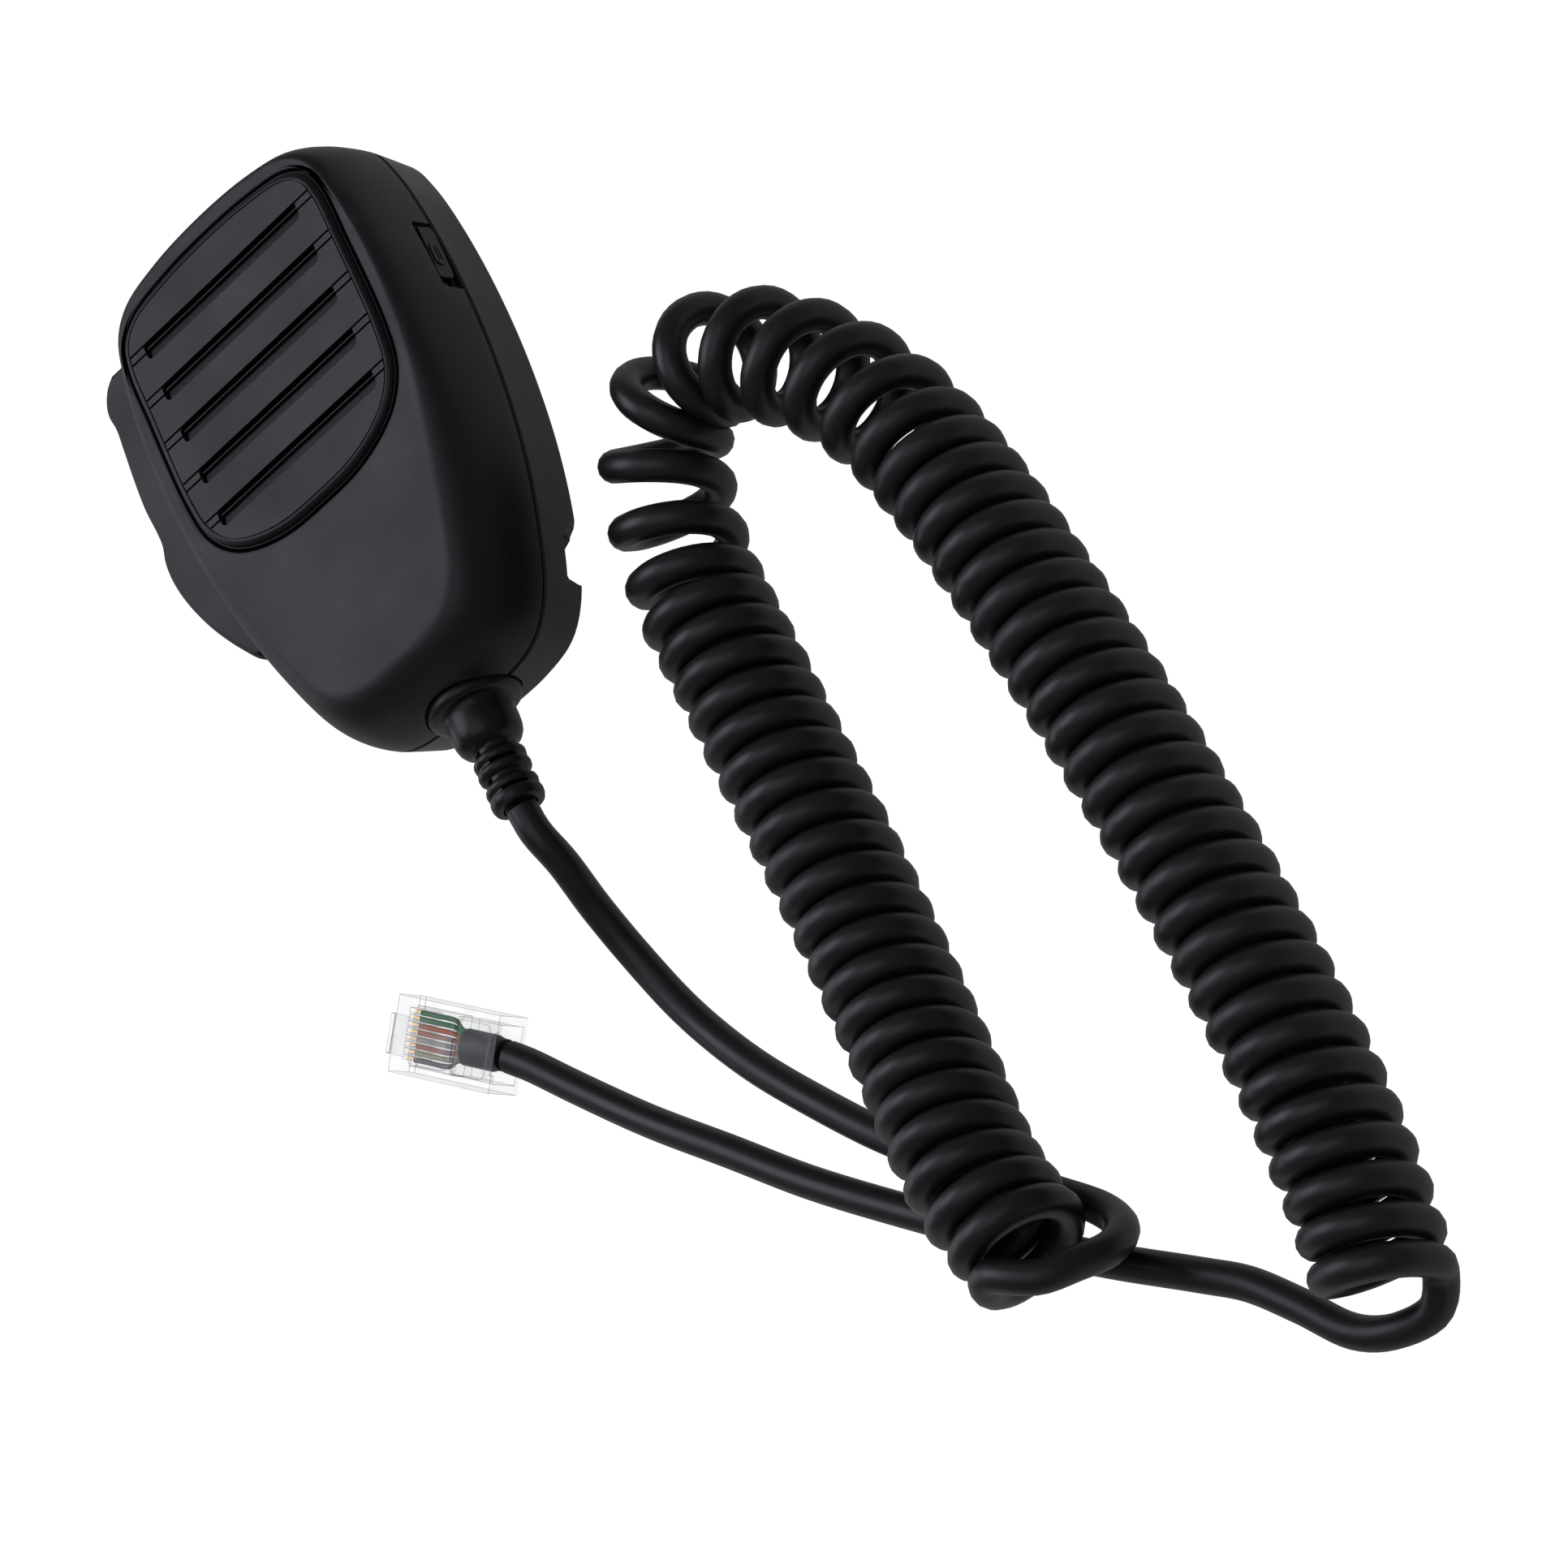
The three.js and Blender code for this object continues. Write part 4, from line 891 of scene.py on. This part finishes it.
def plug_wire(number):
    y = contact_y(number - 1)
    line = smooth_line([
        (8.55, y * 0.62, MIDDLE_Z), (9.4, y * 0.66, 3.5), (10.8, y * 0.95, MIDDLE_Z), (12, y, 3.4),
        (15, y, 3.4), (18.1, y, 3.4),
    ], steps=5)
    return skin(f"plug_lead_{number}", [raised(circle(WIRE_R, 12, p[1:]), p[0], "x") for p in line])


LEAD_FINISHES = ("green", "green", "orange", "orange", "white", "orange", "cream", "grey")
for number, colour_name in enumerate(LEAD_FINISHES, 1):
    wire = plug_wire(number)
    for face in wire.data.polygons:
        face.use_smooth = len(face.vertices) == 4
    placed_on_plug(wire, "case", f"plug_wire_{number}", f"wire_{colour_name}")

# %% [markdown]
# Nearly every piece is a moulded black plastic or rubber, and none of them is one flat colour. The mould
# leaves a fine grain, hands rub the edges paler, the gloss is a little uneven, and dust settles on what faces
# up. Each of these is made once, as a node group that gives a mask, a height or a roughness.

# %% Shared effects
def effect(name, inputs, output):
    """An empty node group with named number inputs and one named output."""
    tree = bpy.data.node_groups.new(name, "ShaderNodeTree")
    for label, value in inputs.items():
        tree.interface.new_socket(label, in_out="INPUT", socket_type="NodeSocketFloat").default_value = value
    tree.interface.new_socket(output, in_out="OUTPUT", socket_type="NodeSocketFloat")
    return tree, tree.nodes.new("NodeGroupInput"), tree.nodes.new("NodeGroupOutput")


def step(tree, kind, settings=None, **values):
    """One node, with its settings and its socket values. A socket value may be another node's output."""
    made_node = tree.nodes.new(kind)
    for key, value in (settings or {}).items():
        setattr(made_node, key, value)
    for key, value in values.items():
        socket = made_node.inputs[int(key[1:]) if key[0] == "_" else key.replace("_", " ")]
        if isinstance(value, bpy.types.NodeSocket):
            tree.links.new(value, socket)
        else:
            socket.default_value = value
    return made_node


def product(tree, *outputs):
    """The outputs multiplied together."""
    result = outputs[0]
    for output in outputs[1:]:
        result = step(tree, "ShaderNodeMath", {"operation": "MULTIPLY"}, _0=result, _1=output).outputs[0]
    return result


def object_place(tree):
    return tree.nodes.new("ShaderNodeTexCoord").outputs["Object"]


def moulded_grain():
    tree, given, out = effect("moulded_grain", {"Grains per metre": 4000, "Roughness": 0.6}, "Height")
    noise = step(tree, "ShaderNodeTexNoise", Vector=object_place(tree), Scale=given.outputs[0], Detail=3,
                 Roughness=given.outputs[1])
    tree.links.new(noise.outputs["Fac"], out.inputs[0])
    return tree


def rubbed_edges():
    """High where a sharp edge stands proud, and broken up by a soft noise."""
    tree, given, out = effect("rubbed_edges", {"Start": 0.52, "Full": 0.6, "Amount": 0.5}, "Rub")
    edge = step(tree, "ShaderNodeMapRange", _0=tree.nodes.new("ShaderNodeNewGeometry").outputs["Pointiness"],
                _1=given.outputs["Start"], _2=given.outputs["Full"], _3=0, _4=1)
    noise = step(tree, "ShaderNodeTexNoise", Vector=object_place(tree), Scale=140, Detail=4)
    patchy = step(tree, "ShaderNodeMapRange", _0=noise.outputs["Fac"], _1=0.35, _2=0.65, _3=0.35, _4=1)
    rub = product(tree, edge.outputs[0], patchy.outputs[0], given.outputs["Amount"])
    tree.links.new(rub, out.inputs[0])
    return tree


def settled_dust():
    """Scattered specks, only where the surface faces up."""
    tree, given, out = effect("settled_dust", {"Specks per metre": 900, "Amount": 0.2}, "Dust")
    normal = step(tree, "ShaderNodeSeparateXYZ", _0=tree.nodes.new("ShaderNodeNewGeometry").outputs["Normal"])
    up = step(tree, "ShaderNodeMapRange", _0=normal.outputs["Z"], _1=0.2, _2=0.9, _3=0, _4=1)
    noise = step(tree, "ShaderNodeTexNoise", Vector=object_place(tree), Scale=given.outputs[0], Detail=5)
    speck = step(tree, "ShaderNodeMapRange", _0=noise.outputs["Fac"], _1=0.6, _2=0.78, _3=0, _4=1)
    dust = product(tree, speck.outputs[0], up.outputs[0], given.outputs["Amount"])
    tree.links.new(dust, out.inputs[0])
    return tree


def uneven_gloss():
    """A roughness that wanders about its middle value, as handled and moulded surfaces do."""
    tree, given, out = effect("uneven_gloss", {"Middle": 0.5, "Wander": 0.08, "Per metre": 60}, "Roughness")
    noise = step(tree, "ShaderNodeTexNoise", Vector=object_place(tree), Scale=given.outputs[2], Detail=3)
    low = step(tree, "ShaderNodeMath", {"operation": "SUBTRACT"}, _0=given.outputs[0], _1=given.outputs[1])
    high = step(tree, "ShaderNodeMath", {"operation": "ADD"}, _0=given.outputs[0], _1=given.outputs[1])
    spread = step(tree, "ShaderNodeMapRange", _0=noise.outputs["Fac"], _1=0.3, _2=0.7, _3=low.outputs[0],
                  _4=high.outputs[0])
    tree.links.new(spread.outputs[0], out.inputs[0])
    return tree


GRAIN, RUB, DUST, GLOSS = moulded_grain(), rubbed_edges(), settled_dust(), uneven_gloss()
print("shared effects:", [tree.name for tree in (GRAIN, RUB, DUST, GLOSS)])

# %% [markdown]
# A finish is one material: a Principled shader whose colour, roughness and bump come from the four effects.
# The numbers that differ are the base colour, how glossy the mould left it, and how coarse its grain is.

# %% Finishes
def finish(name, colour, roughness, specular=0.5):
    material = bpy.data.materials.new(name)
    material.use_nodes = True
    material.diffuse_color = (*colour, 1)
    shader = material.node_tree.nodes["Principled BSDF"]
    shader.inputs["Base Color"].default_value = (*colour, 1)
    shader.inputs["Roughness"].default_value = roughness
    shader.inputs["Specular IOR Level"].default_value = specular
    return material, material.node_tree, shader


def placed(tree, group, **values):
    """One of the shared effects, with this finish's own amounts."""
    return step(tree, "ShaderNodeGroup", {"node_tree": group}, **values)


def textured(tree, shader, gloss, grains, depth, strength):
    """Joins an uneven gloss and a fine grain, its depth in millimetres, to a finish."""
    grain = placed(tree, GRAIN, **{"Grains per metre": grains})
    bump = step(tree, "ShaderNodeBump", Strength=strength, Distance=depth * MM, Height=grain.outputs[0])
    tree.links.new(gloss.outputs[0], shader.inputs["Roughness"])
    tree.links.new(bump.outputs[0], shader.inputs["Normal"])


def moulded(name, colour, roughness, grains=4000, depth=0.012, specular=0.5, rub=0.4, dust=0.03, wander=0.05):
    """A moulded finish; depth is in millimetres. Without rub and dust, its colour is the same all over."""
    material, tree, shader = finish(name, colour, roughness, specular)
    if rub or dust:
        paler = tuple(channel * 2.6 + 0.012 for channel in colour)
        rubbed = placed(tree, RUB, Amount=rub)
        worn = step(tree, "ShaderNodeMix", {"data_type": "RGBA"}, _0=rubbed.outputs[0], _6=(*colour, 1),
                    _7=(*paler, 1))
        dusty = placed(tree, DUST, Amount=dust)
        seen = step(tree, "ShaderNodeMix", {"data_type": "RGBA"}, _0=dusty.outputs[0], _6=worn.outputs[2],
                    _7=(0.22, 0.21, 0.2, 1))
        tree.links.new(seen.outputs[2], shader.inputs["Base Color"])
    gloss = placed(tree, GLOSS, Middle=roughness, Wander=wander)
    textured(tree, shader, gloss, grains, depth, 0.6)
    return material


def metal(name, colour, roughness, grains=2500, depth=0.004):
    material, tree, shader = finish(name, colour, roughness)
    shader.inputs["Metallic"].default_value = 1
    gloss = placed(tree, GLOSS, Middle=roughness, Wander=0.08, **{"Per metre": 300})
    textured(tree, shader, gloss, grains, depth, 0.4)
    return material


FINISHES = {
    "front_shell": moulded("fine_matt_shell", (0.0085, 0.0085, 0.0115), 0.46, 4200, 0.035, 0.42),
    "rear_shell": moulded("satin_shell", (0.0075, 0.0075, 0.0085), 0.42, 3200, 0.01),
    "grille": moulded("satin_grille", (0.0065, 0.0065, 0.0092), 0.4, 3600, 0.006, 0.3),
    "lever_plastic": moulded("satin_lever", (0.006, 0.006, 0.007), 0.42, 3600, 0.006, 0.35),
    "boot_rubber": moulded("boot_rubber", (0.006, 0.006, 0.007), 0.36, 2600, 0.008, 0.4, rub=0.2),
    "cord_jacket": moulded("cord_jacket", (0.011, 0.011, 0.0135), 0.4, 3000, 0.006, 0.5, rub=0.0, dust=0.01),
    "soft_rubber": moulded("capsule_rubber", (0.012, 0.012, 0.012), 0.6, 2000, 0.01),
    "cloth": moulded("dust_cloth", (0.006, 0.006, 0.006), 0.9, 3500, 0.12, 0.1, rub=0, dust=0),
    "board": moulded("board_lacquer", (0.012, 0.09, 0.035), 0.35, 1800, 0.01),
    "ivory_plastic": moulded("ivory_plastic", (0.62, 0.58, 0.47), 0.45, 2400, 0.006, rub=0, dust=0),
    "steel": metal("plated_steel", (0.56, 0.56, 0.57), 0.32),
    "capsule_metal": metal("drawn_can", (0.74, 0.74, 0.75), 0.28),
    "gold": metal("gilt_contact", (0.9, 0.6, 0.22), 0.22, 5000, 0.001),
}
WIRE_COLOURS = {
    "white": (0.8, 0.8, 0.77), "orange": (0.85, 0.19, 0.02), "green": (0.03, 0.3, 0.1),
    "blue": (0.03, 0.1, 0.45), "cream": (0.78, 0.72, 0.52), "grey": (0.3, 0.32, 0.34),
}
for colour_name, colour in WIRE_COLOURS.items():
    FINISHES[f"wire_{colour_name}"] = moulded(
        f"wire_{colour_name}", colour, 0.38, 2600, 0.004, rub=0, dust=0, wander=0.04
    )

# %% [markdown]
# The plug is clear polycarbonate with thin walls. Looked straight through, a wall all but vanishes, while its
# rounded edges and its glancing faces gather light and read as fine grey lines. A thin clear wall is cheaper
# and steadier as partly see-through plastic than as refracting glass. So the faces let most light by, more of
# it shows at a glancing angle, and the edges get painted shade: a dark, nearly opaque finish of their own in
# place of the light that a rounded clear edge bends away.

# %% Clear plastic
def clear_plastic(name, colour, straight, glancing):
    material, tree, shader = finish(name, colour, 0.12, 0.2)
    facing = step(tree, "ShaderNodeLayerWeight", Blend=0.35)
    flow = placed(tree, GLOSS, Middle=0, Wander=0.035, **{"Per metre": 240})
    angle = step(tree, "ShaderNodeMapRange", _0=facing.outputs["Facing"], _2=0.9, _3=straight, _4=glancing)
    marked = step(tree, "ShaderNodeMath", {"operation": "ADD"}, _0=angle.outputs[0], _1=flow.outputs[0])
    tree.links.new(marked.outputs[0], shader.inputs["Alpha"])
    return material


FINISHES["clear_plastic"] = clear_plastic("clear_polycarbonate", (0.8, 0.82, 0.82), 0.03, 0.3)
# The edges' finish is painted shade: a dark, nearly opaque grey in place of the light a rounded clear edge
# bends away.
PAINTED_EDGE_SHADE = clear_plastic("clear_polycarbonate_painted_edge_shade", (0.02, 0.02, 0.025), 0.7, 0.95)

# %% [markdown]
# Each new piece already names its finish. The pieces kept from the solid model, such as the board, the
# capsule and the gilt contacts, are matched to theirs by name.

# %% Put the finishes on
KEPT = {
    "grille_cloth": "cloth", "capsule_boot": "soft_rubber", "mic_capsule": "capsule_metal",
    "circuit_board": "board", "board_screw": "steel", "board_connector": "ivory_plastic",
    "inner_wire_1": "wire_white", "inner_wire_2": "wire_orange", "inner_wire_3": "wire_green",
    "inner_wire_4": "wire_blue", "ptt_pivot_pin": "steel", "ptt_switch_body": "ivory_plastic",
    "ptt_switch_plunger": "soft_rubber", "lock_switch_body": "steel", "cord_entry": "cord_jacket",
    "cord_clamp": "steel", "clamp_screw": "steel", "hanger_screw": "steel", "plug_contact": "gold",
}


def put_on(piece, material):
    """One finish all over; a clear piece also keeps the painted edge shade on its edges."""
    if len(piece.data.materials) == 2:
        piece.data.materials[0], piece.data.materials[1] = material, PAINTED_EDGE_SHADE
        return
    piece.data.materials.clear()
    piece.data.materials.append(material)


for piece in scene.objects:
    if "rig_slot" in piece:
        put_on(piece, FINISHES[piece["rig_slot"]])
for name, kept in nodes.items():
    for start, slot_name in KEPT.items():
        if name.startswith(start):
            kept.material_slots[0].material = FINISHES[slot_name]
print(len(FINISHES), "finishes")

# %% [markdown]
# The microphone lies on a plain white table. One large soft lamp stands where the flat face would mirror it,
# so the face reads as dark grey, and a low strip at the back left draws the rims. The table looks white but
# throws little light on the black flanks, which keeps them dark. A light path tells the two apart.

# %% Table
table = block(-700, 700, -800, 600, -20, -0.12, "table")
table_paint, table_tree, table_shader = finish("table_paint", (0.3, 0.3, 0.3), 0.6, 0.1)
table_shader.inputs["Emission Strength"].default_value = 1.0
seen = step(table_tree, "ShaderNodeLightPath")
glow = step(table_tree, "ShaderNodeMapRange", _0=seen.outputs["Is Camera Ray"], _3=0.26, _4=1.0)
table_tree.links.new(glow.outputs[0], table_shader.inputs["Emission Color"])
gloss = placed(table_tree, GLOSS, Middle=0.6, Wander=0.05, **{"Per metre": 8})
table_tree.links.new(gloss.outputs[0], table_shader.inputs["Roughness"])
put_on(table, table_paint)


# %% Lamps
def soft_lamp(name, place, watts, width, height, aim=(0.02, -0.09, 0.02)):
    light = bpy.data.lights.new(name, "AREA")
    light.shape = "RECTANGLE"
    light.energy, light.size, light.size_y = watts, width, height
    light.color = (0.88, 0.9, 1.0)
    lamp = bpy.data.objects.new(name, light)
    lamp.location = place
    lamp.rotation_euler = (Vector(place) - Vector(aim)).to_track_quat("Z", "Y").to_euler()
    scene.collection.objects.link(lamp)
    return lamp


soft_lamp("key_softbox", (-0.72, 0.58, 1.1), 6, 0.9, 0.9)
soft_lamp("overhead", (0.3, -0.2, 1.9), 5, 1.6, 1.6)
soft_lamp("back_strip", (-1.1, 0.5, 0.25), 1.5, 0.9, 0.3)
world = bpy.data.worlds.new("soft_room")
world.use_nodes = True
world.node_tree.nodes["Background"].inputs["Color"].default_value = (1, 1, 1, 1)
world.node_tree.nodes["Background"].inputs["Strength"].default_value = 0.13
scene.world = world
scene.view_settings.view_transform = "Standard"
